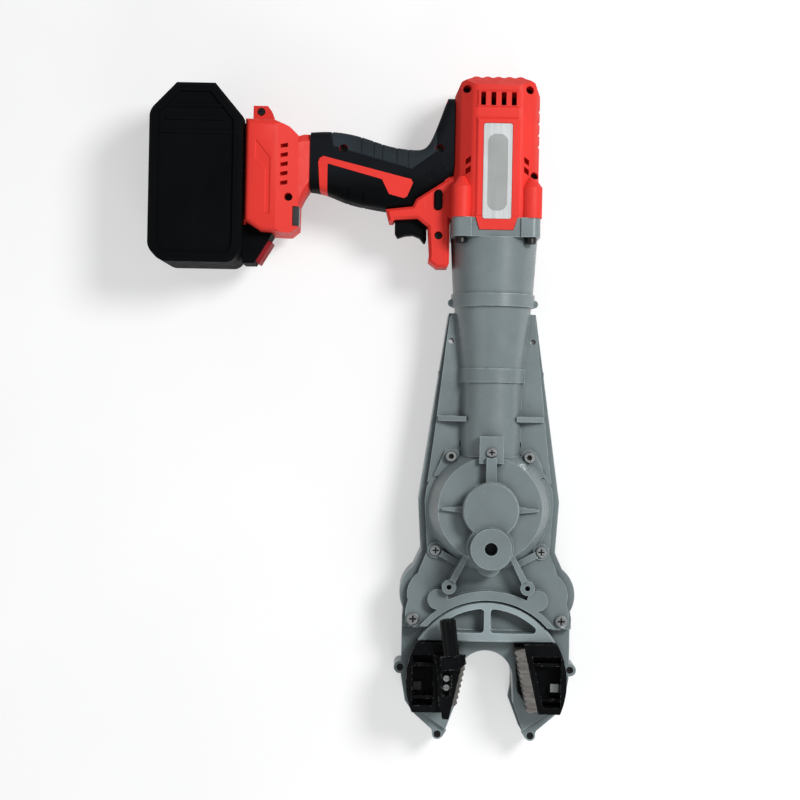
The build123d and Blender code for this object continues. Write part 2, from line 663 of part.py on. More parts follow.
for name, side in (("left", -1), ("right", 1)):
    for kind, teeth, spot, turn in (
        ("ring_idler", IDLER_TEETH, idler_at, idler_turn),
        ("middle_gear", MIDDLE_TEETH, middle_at, middle_turn),
    ):
        with BuildPart() as spur_gear:
            with BuildSketch(shelf(GEAR_LOW_Z)):
                mirrored_turn = turn if side == 1 else math.pi - turn
                with Locations((side * spot[0], spot[1])):
                    Polygon(*spur(teeth, MODULE, mirrored_turn), align=None)
                    Circle(PIN_R + FIT, mode=Mode.SUBTRACT)
            extrude(amount=GEAR_TOP_Z - GEAR_LOW_Z)
        spur_gear.part.label = f"{kind}_{name}"
        export_step(spur_gear.part, f"parts/{kind}_{name}.step")

SHAFT_R = 8.0
with BuildPart() as drive_gear:
    with BuildSketch(shelf(GEAR_LOW_Z)):
        with Locations(drive_at):
            Polygon(*spur(DRIVE_TEETH, MODULE, drive_turn), align=None)
            Circle(SHAFT_R + FIT, mode=Mode.SUBTRACT)
            with PolarLocations(29.0, 6):
                Circle(9.0, mode=Mode.SUBTRACT)
    extrude(amount=GEAR_TOP_Z - GEAR_LOW_Z)
drive_gear.part.label = "drive_gear"
export_step(drive_gear.part, "parts/drive_gear.step")

# Bevel pair: one tooth drawn at the big end and scaled towards the shared apex, then repeated.
cone_gear = math.atan2(CROWN_TEETH, PINION_TEETH)
cone_pinion = math.pi / 2 - cone_gear
cone_reach = math.hypot(CROWN_TEETH, PINION_TEETH) * MODULE / 2
shrink = 1 - BEVEL_FACE / cone_reach
rim_in = shrink - BEVEL_RIM
rim_out = 1 + BEVEL_RIM
bevel_top = TOOTH_TOP * MODULE
bevel_foot = TOOTH_FOOT * MODULE


def bevel_tooth(teeth, cone, scale):
    """Points of one tooth square to the pitch cone: sideways and out of the cone."""
    pitch_r = teeth * MODULE / 2 / math.cos(cone)
    base_r = pitch_r * math.cos(math.radians(PRESSURE))
    half = (math.pi * MODULE - 1.4 * SLACK) / (4 * pitch_r)
    radii = (pitch_r - bevel_foot - 0.3, pitch_r - bevel_foot / 2, pitch_r, pitch_r + bevel_top)
    sides = [(r, flank(pitch_r, base_r, r, half)) for r in radii]
    right = [(r * math.sin(a), r * math.cos(a) - pitch_r) for r, a in sides]
    return [(scale * x, scale * y) for x, y in [*right, *[(-x, y) for x, y in reversed(right)]]]


APEX = Vector(0, DRIVE_Y, MOTOR_Z)
element = Vector(0, math.sin(cone_gear), math.cos(cone_gear))
with BuildPart() as crown_tooth:
    for scale in (1.0, shrink):
        with BuildSketch(Plane(origin=APEX + element * cone_reach * scale, x_dir=(1, 0, 0), z_dir=-element)):
            Polygon(*[(x, -y) for x, y in bevel_tooth(CROWN_TEETH, cone_gear, scale)], align=None)
    loft(ruled=True)
with BuildPart() as pinion_tooth:
    for scale in (1.0, shrink):
        with BuildSketch(Plane(origin=APEX + element * cone_reach * scale, x_dir=(1, 0, 0), z_dir=-element)):
            Polygon(*bevel_tooth(PINION_TEETH, cone_pinion, scale), align=None)
    loft(ruled=True)

crown_r = CROWN_TEETH * MODULE / 2
crown_h = PINION_TEETH * MODULE / 2
root_r = crown_r - bevel_foot * math.cos(cone_gear)
root_h = crown_h + bevel_foot * math.sin(cone_gear)
DRIVE_PLANE = Plane(origin=(0, DRIVE_Y, MOTOR_Z), x_dir=(0, 1, 0), z_dir=(1, 0, 0))
DRIVE_AXIS = Axis((0, DRIVE_Y, 0), (0, 0, 1))
BEVEL_BACK = 20.8
with BuildPart() as bevel_gear:
    with BuildSketch(DRIVE_PLANE):
        Polygon(
            (SHAFT_R + FIT, root_h * rim_in),
            (root_r * rim_in, root_h * rim_in),
            (root_r * rim_out, root_h * rim_out),
            (root_r * rim_out + 0.8, root_h * rim_out + 2.6),
            (18, BEVEL_BACK),
            (SHAFT_R + FIT, BEVEL_BACK),
            align=None,
        )
    revolve(axis=DRIVE_AXIS)
    half_tooth = 180 / CROWN_TEETH
    add([crown_tooth.part.rotate(DRIVE_AXIS, half_tooth * (2 * step + 1)) for step in range(CROWN_TEETH)])
bevel_gear.part.label = "bevel_gear"
export_step(bevel_gear.part, "parts/bevel_gear.step")

with BuildPart() as bevel_shaft:
    with BuildSketch(shelf(2.2)):
        with Locations(drive_at):
            Circle(4.0)
    extrude(amount=GEAR_LOW_Z - 2.2)
    with BuildSketch(shelf(GEAR_LOW_Z)):
        with Locations(drive_at):
            Circle(SHAFT_R)
    extrude(amount=BEARING_FRONT_Z - GEAR_LOW_Z)
    with BuildSketch(shelf(BEARING_FRONT_Z)):
        with Locations(drive_at):
            Circle(5.0)
    extrude(amount=11)
bevel_shaft.part.label = "bevel_shaft"
export_step(bevel_shaft.part, "parts/bevel_shaft.step")


def bearings(planes, outer, inner, length):
    """Shielded bearings of one size, each a ring with a shallow groove on both faces."""
    low_groove = inner + 0.3 * (outer - inner)
    high_groove = inner + 0.7 * (outer - inner)
    with BuildPart() as rings:
        for plane in planes:
            with BuildSketch(plane):
                Circle(outer)
                Circle(inner, mode=Mode.SUBTRACT)
            extrude(amount=length)
            with BuildSketch(plane):
                Circle(high_groove)
                Circle(low_groove, mode=Mode.SUBTRACT)
            extrude(amount=0.6, mode=Mode.SUBTRACT)
            with BuildSketch(plane.offset(length)):
                Circle(high_groove)
                Circle(low_groove, mode=Mode.SUBTRACT)
            extrude(amount=-0.6, mode=Mode.SUBTRACT)
    return rings.part


OUTPUT_R = 8.5
bearing_spots = {
    "bevel_bearing_rear": ([Plane(origin=(0, DRIVE_Y, 2.0))], 11.0, 4.0 + FIT, 6.6),
    "bevel_bearing_front": (
        [Plane(origin=(0, DRIVE_Y, BEARING_FRONT_Z))],
        BEARING_FRONT_R,
        5.0 + FIT,
        BEARING_T - 0.1,
    ),
    "output_bearings": (
        [across(COVER_TOP_Y + 2), across(TUBE_STEP_Y - 12)],
        TUBE_BORE_R - FIT,
        OUTPUT_R + FIT,
        10.0,
    ),
}
for name, (planes, outer, inner, length) in bearing_spots.items():
    bearing = bearings(planes, outer, inner, length)
    bearing.label = name
    export_step(bearing, f"parts/{name}.step")

# Planetary stages on the motor axis. The long ring gear stands still in the tube.
planet_reach = (SUN_TEETH + PLANET_TEETH) * PLANET_MODULE / 2
annulus_pitch = ANNULUS_TEETH * PLANET_MODULE / 2
STAGE_TWO_Y = 320.0
STAGE_ONE_Y = 339.0
PLANET_FACE = 9.0
PLANET_PIN_R = 3.0
CARRIER_R = 23.0
CARRIER_T = 5.0
with BuildPart() as planet_ring_gear:
    with BuildSketch(across(ANNULUS_LOW_Y)):
        Circle(ANNULUS_R)
        space = gear_points(
            ANNULUS_TEETH, PLANET_MODULE, 0.0, TOOTH_FOOT * PLANET_MODULE, TOOTH_TOP * PLANET_MODULE, -SLACK
        )
        Polygon(*space, align=None, mode=Mode.SUBTRACT)
    extrude(amount=ANNULUS_TOP_Y - ANNULUS_LOW_Y)
planet_ring_gear.part.label = "planet_ring_gear"
export_step(planet_ring_gear.part, "parts/planet_ring_gear.step")

planet_angles = [math.pi / 2 + 2 * math.pi * k / PLANET_COUNT for k in range(PLANET_COUNT)]
planet_turns = [a - ANNULUS_TEETH * a / PLANET_TEETH for a in planet_angles]
sun_turn = meshed(PLANET_TEETH, planet_turns[0], at(planet_reach, planet_angles[0]), SUN_TEETH, (0, 0))
for stage, low in (("one", STAGE_ONE_Y), ("two", STAGE_TWO_Y)):
    for letter, angle, turn in zip("abc", planet_angles, planet_turns):
        with BuildPart() as planet:
            with BuildSketch(across(low)):
                with Locations(at(planet_reach, angle)):
                    Polygon(*spur(PLANET_TEETH, PLANET_MODULE, turn), align=None)
                    Circle(PLANET_PIN_R + FIT, mode=Mode.SUBTRACT)
            extrude(amount=PLANET_FACE)
        planet.part.label = f"planet_{stage}_{letter}"
        export_step(planet.part, f"parts/planet_{stage}_{letter}.step")

planet_spots = [at(planet_reach, angle) for angle in planet_angles]
with BuildPart() as carrier_one:
    with BuildSketch(across(STAGE_ONE_Y - GAP)):
        Circle(CARRIER_R)
    extrude(amount=-CARRIER_T)
    with BuildSketch(across(STAGE_ONE_Y - GAP)):
        with Locations(*planet_spots):
            Circle(PLANET_PIN_R)
    extrude(amount=PLANET_FACE + GAP)
    with BuildSketch(across(STAGE_ONE_Y - GAP - CARRIER_T)):
        Polygon(*spur(SUN_TEETH, PLANET_MODULE, sun_turn), align=None)
    extrude(amount=-(STAGE_ONE_Y - GAP - CARRIER_T - STAGE_TWO_Y - GAP))
carrier_one.part.label = "carrier_one"
export_step(carrier_one.part, "parts/carrier_one.step")

PINION_BACK_Y = DRIVE_Y + 34.0
with BuildPart() as output_shaft:
    with BuildSketch(across(STAGE_TWO_Y - GAP)):
        Circle(CARRIER_R)
    extrude(amount=-CARRIER_T)
    with BuildSketch(across(STAGE_TWO_Y - GAP)):
        with Locations(*planet_spots):
            Circle(PLANET_PIN_R)
    extrude(amount=PLANET_FACE + GAP)
    with BuildSketch(across(STAGE_TWO_Y - GAP - CARRIER_T)):
        Circle(OUTPUT_R)
    extrude(amount=-(STAGE_TWO_Y - GAP - CARRIER_T - PINION_BACK_Y))
output_shaft.part.label = "output_shaft"
export_step(output_shaft.part, "parts/output_shaft.step")

with BuildPart() as bevel_pinion:
    with BuildSketch(DRIVE_PLANE):
        foot_y = crown_r + bevel_foot * math.sin(cone_pinion)
        foot_r = crown_h - bevel_foot * math.cos(cone_pinion)
        Polygon(
            (foot_y * shrink, 0),
            (foot_y * shrink, foot_r * shrink),
            (foot_y, foot_r),
            (PINION_BACK_Y - DRIVE_Y, foot_r),
            (PINION_BACK_Y - DRIVE_Y, 0),
            align=None,
        )
    revolve(axis=MOTOR_AXIS)
    add([pinion_tooth.part.rotate(MOTOR_AXIS, 360 / PINION_TEETH * step) for step in range(PINION_TEETH)])
bevel_pinion.part.label = "bevel_pinion"
export_step(bevel_pinion.part, "parts/bevel_pinion.step")

# Turning head: the split ring gear with its hub and face plate.
RING_LOW_Z = FLOOR + GAP
RING_TOP_Z = ARM_Z - GAP
FACE_LOW_Z = ARM_Z + GUARD_T + GAP
FACE_Z = FACE_LOW_Z + 3.6
FACE_TIP = 52.0
FACE_TIP_LEAN = 34.2
with BuildPart() as ring_rotor:
    with BuildSketch(shelf(RING_LOW_Z)):
        Polygon(*spur(RING_TEETH, MODULE, ring_turn), align=None)
    extrude(amount=RING_TOP_Z - RING_LOW_Z)
    with BuildSketch(shelf(RING_TOP_Z)):
        Circle(HUB_R)
    extrude(amount=FACE_LOW_Z - RING_TOP_Z)
    with BuildSketch(shelf(FACE_LOW_Z)):
        Circle(HEAD_R)
        for lean in (-FACE_TIP_LEAN, FACE_TIP_LEAN):
            spot = at(FACE_TIP + 15, math.radians(lean - 90))
            with Locations(Location((spot[0], spot[1], 0), (0, 0, lean))):
                Rectangle(60, 30, mode=Mode.SUBTRACT)
    extrude(amount=FACE_Z - FACE_LOW_Z)
    with BuildSketch(shelf(RING_LOW_Z)):
        Circle(THROAT_R)
        Polygon(*around(head_half), align=None)
    extrude(amount=60, mode=Mode.SUBTRACT)
ring_rotor.part.label = "ring_rotor"
export_step(ring_rotor.part, "parts/ring_rotor.step")

# Crown: the half-moon above the jaws, with two pockets and a middle rib.
CROWN_LOW_Y = 31.0
CROWN_Z = 51.0
CROWN_RIM = 6.5
CROWN_BAR = 8.0
CROWN_RIB = 7.0
with BuildPart() as rotor_crown:
    with BuildSketch(shelf(FACE_Z)):
        Circle(HEAD_R)
        with Locations((0, CROWN_LOW_Y - 100)):
            Rectangle(200, 200, mode=Mode.SUBTRACT)
    extrude(amount=CROWN_Z - FACE_Z)
    chamfer(rotor_crown.edges().group_by(Axis.Z)[-1], 1.2)
    with BuildSketch(shelf(FACE_Z + 4)) as pockets:
        Circle(HEAD_R - CROWN_RIM)
        with Locations((0, CROWN_LOW_Y + CROWN_BAR - 100)):
            Rectangle(200, 200, mode=Mode.SUBTRACT)
        with Locations((0, 60)):
            Rectangle(CROWN_RIB, 80, mode=Mode.SUBTRACT)
        fillet(pockets.vertices(), 2.0)
    extrude(amount=CROWN_Z, mode=Mode.SUBTRACT, taper=-4)
rotor_crown.part.label = "rotor_crown"
export_step(rotor_crown.part, "parts/rotor_crown.step")

# Jaws. The right insert is fixed, the left one rides on a slider along a straight slot.
JAW_Z = 58.0
JAW_TOP_Y = CROWN_LOW_Y - 0.4
JAW_FLOOR_Z = 38.0
RIGHT_DEPTH = 8.8
LEFT_DEPTH = 7.6
TOOTH_PITCH = 4.6
TOOTH_DEPTH = 1.8
LEFT_LEAN = 12.0
RIGHT_LEAN = 12.7
LEFT_REACH = 18.6
RIGHT_REACH = 26.2
SLIDE_TRAVEL = 3.6
SLOT_AT = (-31.8, -0.4)
SLOT_W = 5.2
PIN_STEP = 3.6


def insert_points(lean, reach, low, high, depth, side):
    """Outline of a serrated insert whose tooth tips lie on a leaning line at a reach from the axis."""
    turn = math.radians(lean)
    run = (math.sin(turn) * side * -1, math.cos(turn))
    out = (math.cos(turn) * side, math.sin(turn))
    count = round((high - low) / TOOTH_PITCH)
    local = []
    for tooth in range(count):
        local.append((low + tooth * TOOTH_PITCH, TOOTH_DEPTH))
        local.append((low + (tooth + 0.65) * TOOTH_PITCH, 0.0))
    local += [(low + count * TOOTH_PITCH, TOOTH_DEPTH)]
    local += [(low + count * TOOTH_PITCH, depth), (low, depth)]
    return [
        (along_it * run[0] + (reach + off) * out[0], along_it * run[1] + (reach + off) * out[1])
        for along_it, off in local
    ]


def bar_points(lean, reach, low, high, depth, side):
    """A leaning bar with the same directions as an insert."""
    turn = math.radians(lean)
    run = (math.sin(turn) * side * -1, math.cos(turn))
    out = (math.cos(turn) * side, math.sin(turn))
    corners = ((low, reach), (high, reach), (high, reach + depth), (low, reach + depth))
    return [(a * run[0] + o * out[0], a * run[1] + o * out[1]) for a, o in corners]


jaw_right = [(22.5, JAW_TOP_Y), (70.0, JAW_TOP_Y), (70.0, -16.0), (60.0, -24.5), (36.0, -24.5), (26.0, -10.0)]
jaw_left = [(-x, y) for x, y in jaw_right]
SQUARE_AT = (54.6, -5.0)
guide_spots = [(SLOT_AT[0], SLOT_AT[1] + PIN_STEP), (SLOT_AT[0], SLOT_AT[1] - PIN_STEP)]
with BuildPart() as jaw_holder_right:
    with BuildSketch(shelf(FACE_Z)):
        Circle(HEAD_R + 0.6)
        Polygon(*jaw_right, align=None, mode=Mode.INTERSECT)
        Polygon(*around(head_half), align=None, mode=Mode.SUBTRACT)
        Circle(THROAT_R, mode=Mode.SUBTRACT)
    extrude(amount=JAW_Z - FACE_Z)
    with BuildSketch(shelf(JAW_FLOOR_Z)):
        Polygon(*bar_points(RIGHT_LEAN, 0, -60, 60, RIGHT_REACH + RIGHT_DEPTH + FIT, 1), align=None)
    extrude(amount=30, mode=Mode.SUBTRACT)
    with BuildSketch(shelf(JAW_FLOOR_Z + 4)):
        Polygon((36.2, 21.0), (58.6, 21.0), (58.6, -19.0), (45.2, -19.0), align=None)
    extrude(amount=30, mode=Mode.SUBTRACT)
    with BuildSketch(shelf(JAW_FLOOR_Z + 4)):
        with Locations((48.6, 14.0), (50.6, -14.0)):
            Rectangle(20, 2.4)
    extrude(amount=10)
    with BuildSketch(shelf(JAW_FLOOR_Z + 4)):
        with Locations(SQUARE_AT):
            Circle(2.05)
    extrude(amount=-9, mode=Mode.SUBTRACT)
jaw_holder_right.part.label = "jaw_holder_right"
export_step(jaw_holder_right.part, "parts/jaw_holder_right.step")

with BuildPart() as jaw_holder_left:
    with BuildSketch(shelf(FACE_Z)):
        Circle(HEAD_R + 0.6)
        Polygon(*jaw_left, align=None, mode=Mode.INTERSECT)
        Polygon(*around(head_half), align=None, mode=Mode.SUBTRACT)
        Circle(THROAT_R, mode=Mode.SUBTRACT)
    extrude(amount=JAW_Z - FACE_Z)
    with BuildSketch(shelf(JAW_FLOOR_Z)):
        Polygon(*bar_points(LEFT_LEAN, 0, -60, 60, LEFT_REACH + LEFT_DEPTH + 1.2, -1), align=None)
    extrude(amount=30, mode=Mode.SUBTRACT)
    with BuildSketch(shelf(JAW_FLOOR_Z + 4)):
        with Locations((-50.3, 1.0)):
            Rectangle(16.6, 40)
    extrude(amount=30, mode=Mode.SUBTRACT)
    with BuildSketch(shelf(JAW_FLOOR_Z + 4)):
        with Locations((-50.3, 13.0), (-50.3, -13.0)):
            Rectangle(16.6, 2.4)
    extrude(amount=12)
    with BuildSketch(shelf(JAW_FLOOR_Z + 4)):
        with Locations((-SQUARE_AT[0], SQUARE_AT[1])):
            Circle(2.05)
    extrude(amount=-9, mode=Mode.SUBTRACT)
    with BuildSketch(shelf(JAW_FLOOR_Z + 5.9)):
        with Locations(*guide_spots):
            Circle(SLOT_W / 2 - 0.15 + FIT)
    extrude(amount=40, mode=Mode.SUBTRACT)
jaw_holder_left.part.label = "jaw_holder_left"
export_step(jaw_holder_left.part, "parts/jaw_holder_left.step")

with BuildPart() as jaw_insert_right:
    with BuildSketch(shelf(JAW_FLOOR_Z)):
        Polygon(*insert_points(RIGHT_LEAN, RIGHT_REACH, -30.5, 20.1, RIGHT_DEPTH, 1), align=None)
    extrude(amount=JAW_Z + 0.6 - JAW_FLOOR_Z)
jaw_insert_right.part.label = "jaw_insert_right"
export_step(jaw_insert_right.part, "parts/jaw_insert_right.step")

SLIDER_LOW_Z = JAW_Z + GAP
SLIDER_Z = SLIDER_LOW_Z + 4.0
with BuildPart() as jaw_insert_left:
    with BuildSketch(shelf(JAW_FLOOR_Z + GAP)):
        Polygon(*insert_points(LEFT_LEAN, LEFT_REACH, -24.0, 12.8, LEFT_DEPTH, -1), align=None)
    extrude(amount=SLIDER_LOW_Z - JAW_FLOOR_Z - GAP)
jaw_insert_left.part.label = "jaw_insert_left"
export_step(jaw_insert_left.part, "parts/jaw_insert_left.step")

slider_points = [(-41.7, 22.0), (-17.0, 22.0), (-17.0, 15.0), (-20.2, 11.8), (-29.5, -29.0)]
slider_points += [(-34.3, -29.0), (-37.5, -17.0), (-39.4, 9.0)]
with BuildPart() as jaw_slider_left:
    with BuildSketch(shelf(SLIDER_LOW_Z)):
        Polygon(*slider_points, align=None)
        with Locations(SLOT_AT):
            SlotOverall(2 * (SLIDE_TRAVEL + PIN_STEP) + SLOT_W, SLOT_W, rotation=90, mode=Mode.SUBTRACT)
    extrude(amount=SLIDER_Z - SLIDER_LOW_Z)
    with BuildSketch(shelf(SLIDER_Z)):
        with Locations((-29.2, 16.5)):
            RectangleRounded(15, 10.5, 2)
    extrude(amount=9)
    with BuildSketch(shelf(SLIDER_Z)):
        with Locations(SLOT_AT):
            SlotOverall(2 * (SLIDE_TRAVEL + PIN_STEP) + SLOT_W + 3, SLOT_W + 3, rotation=90)
            SlotOverall(2 * (SLIDE_TRAVEL + PIN_STEP) + SLOT_W, SLOT_W, rotation=90, mode=Mode.SUBTRACT)
    extrude(amount=1.0)
jaw_slider_left.part.label = "jaw_slider_left"
export_step(jaw_slider_left.part, "parts/jaw_slider_left.step")

LEVER_R = 6.4
LEVER_RUN = 29.0
lever_plane = Plane(origin=(-28.4, 21.9, SLIDER_Z + 5.2), x_dir=(1, 0.13, 0), z_dir=(-0.13, 1, 0))
with BuildPart() as jaw_lever:
    with BuildSketch(lever_plane):
        Circle(LEVER_R)
    extrude(amount=LEVER_RUN)
    chamfer(jaw_lever.edges().filter_by(GeomType.CIRCLE).sort_by(Axis.Y)[-1], 1.2)
    with BuildSketch(lever_plane.offset(LEVER_RUN)):
        Circle(2.6)
    extrude(amount=-6, mode=Mode.SUBTRACT)
    with BuildSketch(Plane(origin=(0, 21.0, 0), x_dir=(1, 0, 0), z_dir=(0, 1, 0))):
        with Locations((-28.4, -SLIDER_Z - 5)):
            Rectangle(40, 40)
    extrude(amount=1.0 + FIT, mode=Mode.SUBTRACT)
jaw_lever.part.label = "jaw_lever"
export_step(jaw_lever.part, "parts/jaw_lever.step")

with BuildPart() as jaw_screws:
    with BuildSketch(shelf(JAW_FLOOR_Z + 6)):
        with Locations(*guide_spots):
            Circle(SLOT_W / 2 - 0.15)
    extrude(amount=SLIDER_Z - JAW_FLOOR_Z - 6.4)
    with BuildSketch(shelf(SLIDER_Z - 0.4)):
        with Locations(*guide_spots):
            Rectangle(3.6, 0.8)
    extrude(amount=-1.2, mode=Mode.SUBTRACT)
    with BuildSketch(shelf(JAW_FLOOR_Z + 4)):
        with Locations(*both([SQUARE_AT])):
            Rectangle(6.5, 6.5)
    extrude(amount=6)
    with BuildSketch(shelf(JAW_FLOOR_Z + 4)):
        with Locations(*both([SQUARE_AT])):
            Circle(2.0)
    extrude(amount=-7)
jaw_screws.part.label = "jaw_screws"
export_step(jaw_screws.part, "parts/jaw_screws.step")

# Motor, from the front plate in the tube to the fan under the top of the housing.
MOTOR_SHAFT_R = 4.0
STATOR_R = 25.0
STATOR_Y = 386.0
STATOR_L = 38.0
CORE_R = 10.0
AIR_GAP = 0.6
FAN_Y = 432.0
FAN_R = 22.0
REAR_BEARING_Y = 448.0
PLATE_Y = 352.0
with BuildPart() as motor_front_plate:
    with BuildSketch(across(PLATE_Y)):
        Circle(ANNULUS_R)
        Circle(7.0, mode=Mode.SUBTRACT)
    extrude(amount=10)
    with BuildSketch(across(PLATE_Y + 2)):
        Circle(11.0 + FIT)
    extrude(amount=10, mode=Mode.SUBTRACT)
    with BuildSketch(across(PLATE_Y)):
        with PolarLocations(21.0, 6):
            Circle(4.0)
    extrude(amount=10, mode=Mode.SUBTRACT)
motor_front_plate.part.label = "motor_front_plate"
export_step(motor_front_plate.part, "parts/motor_front_plate.step")

motor_bearings = bearings([across(PLATE_Y + 2), across(REAR_BEARING_Y)], 11.0, MOTOR_SHAFT_R + FIT, 7.0)
motor_bearings.label = "motor_bearings"
export_step(motor_bearings, "parts/motor_bearings.step")

with BuildPart() as motor_stator:
    with BuildSketch(across(STATOR_Y)):
        Circle(STATOR_R)
        Circle(STATOR_R - 4, mode=Mode.SUBTRACT)
        with PolarLocations(0, 6):
            with Locations((16.5, 0)):
                Rectangle(10, 4.4)
        with PolarLocations(0, 6):
            with Locations((13.0, 0)):
                Rectangle(3.0, 9.0)
        Circle(CORE_R + AIR_GAP, mode=Mode.SUBTRACT)
    extrude(amount=STATOR_L)
motor_stator.part.label = "motor_stator"
export_step(motor_stator.part, "parts/motor_stator.step")

with BuildPart() as motor_windings:
    with BuildSketch(across(STATOR_Y - 4)):
        with PolarLocations(0, 6):
            with Locations((17.4, 0)):
                RectangleRounded(5.2, 10.4, 1.2)
    extrude(amount=STATOR_L + 8)
    with BuildSketch(across(STATOR_Y - GAP / 2)):
        with PolarLocations(0, 6):
            with Locations((17.4, 0)):
                Rectangle(10, 4.4 + 2 * FIT)
    extrude(amount=STATOR_L + GAP, mode=Mode.SUBTRACT)
motor_windings.part.label = "motor_windings"
export_step(motor_windings.part, "parts/motor_windings.step")

with BuildPart() as rotor_core:
    with BuildSketch(across(STATOR_Y + 2)):
        Circle(CORE_R)
        Circle(MOTOR_SHAFT_R + FIT, mode=Mode.SUBTRACT)
    extrude(amount=STATOR_L - 4)
rotor_core.part.label = "rotor_core"
export_step(rotor_core.part, "parts/rotor_core.step")

with BuildPart() as motor_shaft:
    with BuildSketch(across(STAGE_ONE_Y + GAP)):
        Polygon(*spur(SUN_TEETH, PLANET_MODULE, sun_turn), align=None)
    extrude(amount=PLATE_Y - 2 - STAGE_ONE_Y - GAP)
    with BuildSketch(across(PLATE_Y - 2)):
        Circle(MOTOR_SHAFT_R)
    extrude(amount=REAR_BEARING_Y + 8 - PLATE_Y + 2)
motor_shaft.part.label = "motor_shaft"
export_step(motor_shaft.part, "parts/motor_shaft.step")

with BuildPart() as cooling_fan:
    with BuildSketch(across(FAN_Y)):
        Circle(FAN_R)
        Circle(MOTOR_SHAFT_R + FIT, mode=Mode.SUBTRACT)
    extrude(amount=1.4)
    with BuildSketch(across(FAN_Y + 1.4)):
        Circle(7.0)
        Circle(MOTOR_SHAFT_R + FIT, mode=Mode.SUBTRACT)
        with PolarLocations(0, 9):
            with Locations((14.2, 0)):
                Rectangle(15, 1.2)
    extrude(amount=8)
cooling_fan.part.label = "cooling_fan"
export_step(cooling_fan.part, "parts/cooling_fan.step")

# Casing: two plastic halves with the motor housing, the trigger guard, the handle's core and the foot.
GUARD_RISE = 17.0
GRIP_T = 2.6
CORE_RISE = HANDLE_RISE - GRIP_T - 2.0
CAVITY_R = 27.5
SEAT_Z = SPLIT_Z + 10.0
SIDE_SCREWS = [(-24.6, 466.6), (24.6, 466.6), (29.6, 399.8), (-45.0, 421.0), (-121.0, 419.5)]
SIDE_SCREWS += [(-44.8, 352.5), (-163.5, 379.7)]
HOOK = (-187.0, 448.2)
SWITCH_AT = (-45.4, 380.5)
SWITCH_W = 6.0
SWITCH_L = 16.0
TRIGGER_HALF = 8.0
TRIGGER_X = (-79.6, -54.2)
trigger_room = [(TRIGGER_X[0] - 0.6, 350), (TRIGGER_X[1] + 0.6, 350), (TRIGGER_X[1] + 0.6, 398)]
trigger_room += [(TRIGGER_X[0] - 0.6, 398)]
COLUMN_R = 8.4
house_half = [(20.0, HOUSING_TOP_Y), (29.0, HOUSING_TOP_Y - 4), (HOUSING_HALF, HOUSING_TOP_Y - 14)]
house_half += [(HOUSING_HALF, FLANGE_Y)]
house_section = [(HOUSING_HALF, 0), (HOUSING_HALF, 17.0), (29.4, 24.5), (18.6, HOUSING_RISE)]
HOUSING_ROUND = 9.0
END_RIBS = (-17.2, -8.6, 0.0, 8.6, 17.2)
END_RIB_R = 4.8
SIDE_SLOTS = (422.6, 431.8, 441.0, 450.2)
guard_points = [(-27.0, 404.5), (-62.7, 381.2), (-65.7, 375.1), (-86.7, 372.5), (-84.2, 363.0)]
guard_points += [(-81.0, 363.0), (-79.8, 364.6), (-61.7, 365.9), (-53.2, 359.3), (-51.7, 338.3)]
guard_points += [(-52.5, 332.5), (-45.7, 327.4), (-37.4, 327.6), (-36.0, 331.0), (-36.0, FLANGE_Y)]
guard_points += [(-27.0, FLANGE_Y)]
GRIP_LEFT = -147.3
GRIP_ROUND = 8.0
grip_top = [(-160.0, 431.6), (-147.2, 432.6), (-131.0, 433.3), (-106.5, 429.4), (-82.0, 422.2)]
grip_top += [(-67.5, 420.4), (-57.5, 421.4), (-50.2, 431.5), (-42.0, 453.5), (-38.9, 461.4)]
grip_end = [(-38.9, 461.4), (-20.0, 461.4), (-20.0, 409.2), (-62.6, 381.4), (-65.6, 375.3), (-86.6, 372.7)]
grip_low = [(-86.6, 372.7), (-105.4, 375.8), (-120.0, 379.4), (-134.7, 385.0), (-147.2, 387.3)]
grip_low += [(-160.0, 388.0)]
core_points = [(-152.0, 429.6), (-131.0, 430.2), (-106.5, 426.3), (-82.0, 419.0), (-67.5, 417.3)]
core_points += [(-56.0, 418.2), (-47.6, 430.5), (-39.3, 452.5), (-37.5, 458.4), (-22.6, 458.4)]
core_points += [(-22.6, 416.0), (-64.4, 381.2), (-86.6, 380.2), (-105.4, 381.2), (-119.2, 384.2)]
core_points += [(-133.9, 389.2), (-152.0, 390.4)]
inlay = [(-140.8, 408.5), (-139.6, 411.8), (-136.6, 413.2), (-67.2, 396.3), (-65.7, 393.4), (-70.2, 382.6)]
inlay += [(-72.8, 381.2), (-84.4, 384.2), (-90.2, 395.8), (-133.4, 407.4), (-133.4, 380.0), (-138.9, 380.0)]
foot_points = [(-197.6, 440.2), (-175.0, 439.6), (-163.4, 434.8), (-156.8, 428.9), (-155.7, 374.4)]
foot_points += [(-155.9, 356.2), (-162.4, 351.4), (-184.4, 352.3), (-197.6, 360.3)]
FOOT_SLOPE_X = (-173.0, -154.0)
FOOT_SLOPE = 12.0
foot_slope = [(FOOT_SLOPE_X[0], FOOT_RISE), (FOOT_SLOPE_X[1], FOOT_RISE - FOOT_SLOPE)]
foot_slope += [(FOOT_SLOPE_X[1] + 4, FOOT_RISE - FOOT_SLOPE), (FOOT_SLOPE_X[1] + 4, FOOT_RISE + 5)]
foot_slope += [(FOOT_SLOPE_X[0], FOOT_RISE + 5)]
hook_points = [(-193.4, 436.0), (-193.2, 452.9), (-181.9, 452.9), (-178.6, 448.7), (-176.4, 441.8)]
hook_points += [(-176.4, 436.0)]
neck_sections = [(-157.0, 371.0, 429.0, 21.4), (-152.4, 380.5, 430.5, 19.8)]
neck_sections += [(GRIP_LEFT - FIT, 388.2, 430.8, 17.8)]
LENS_AT = (-157.6, 365.0)
LENS_LOW = 8.0
LENS_HIGH = FOOT_RISE - FOOT_SLOPE + 1.2
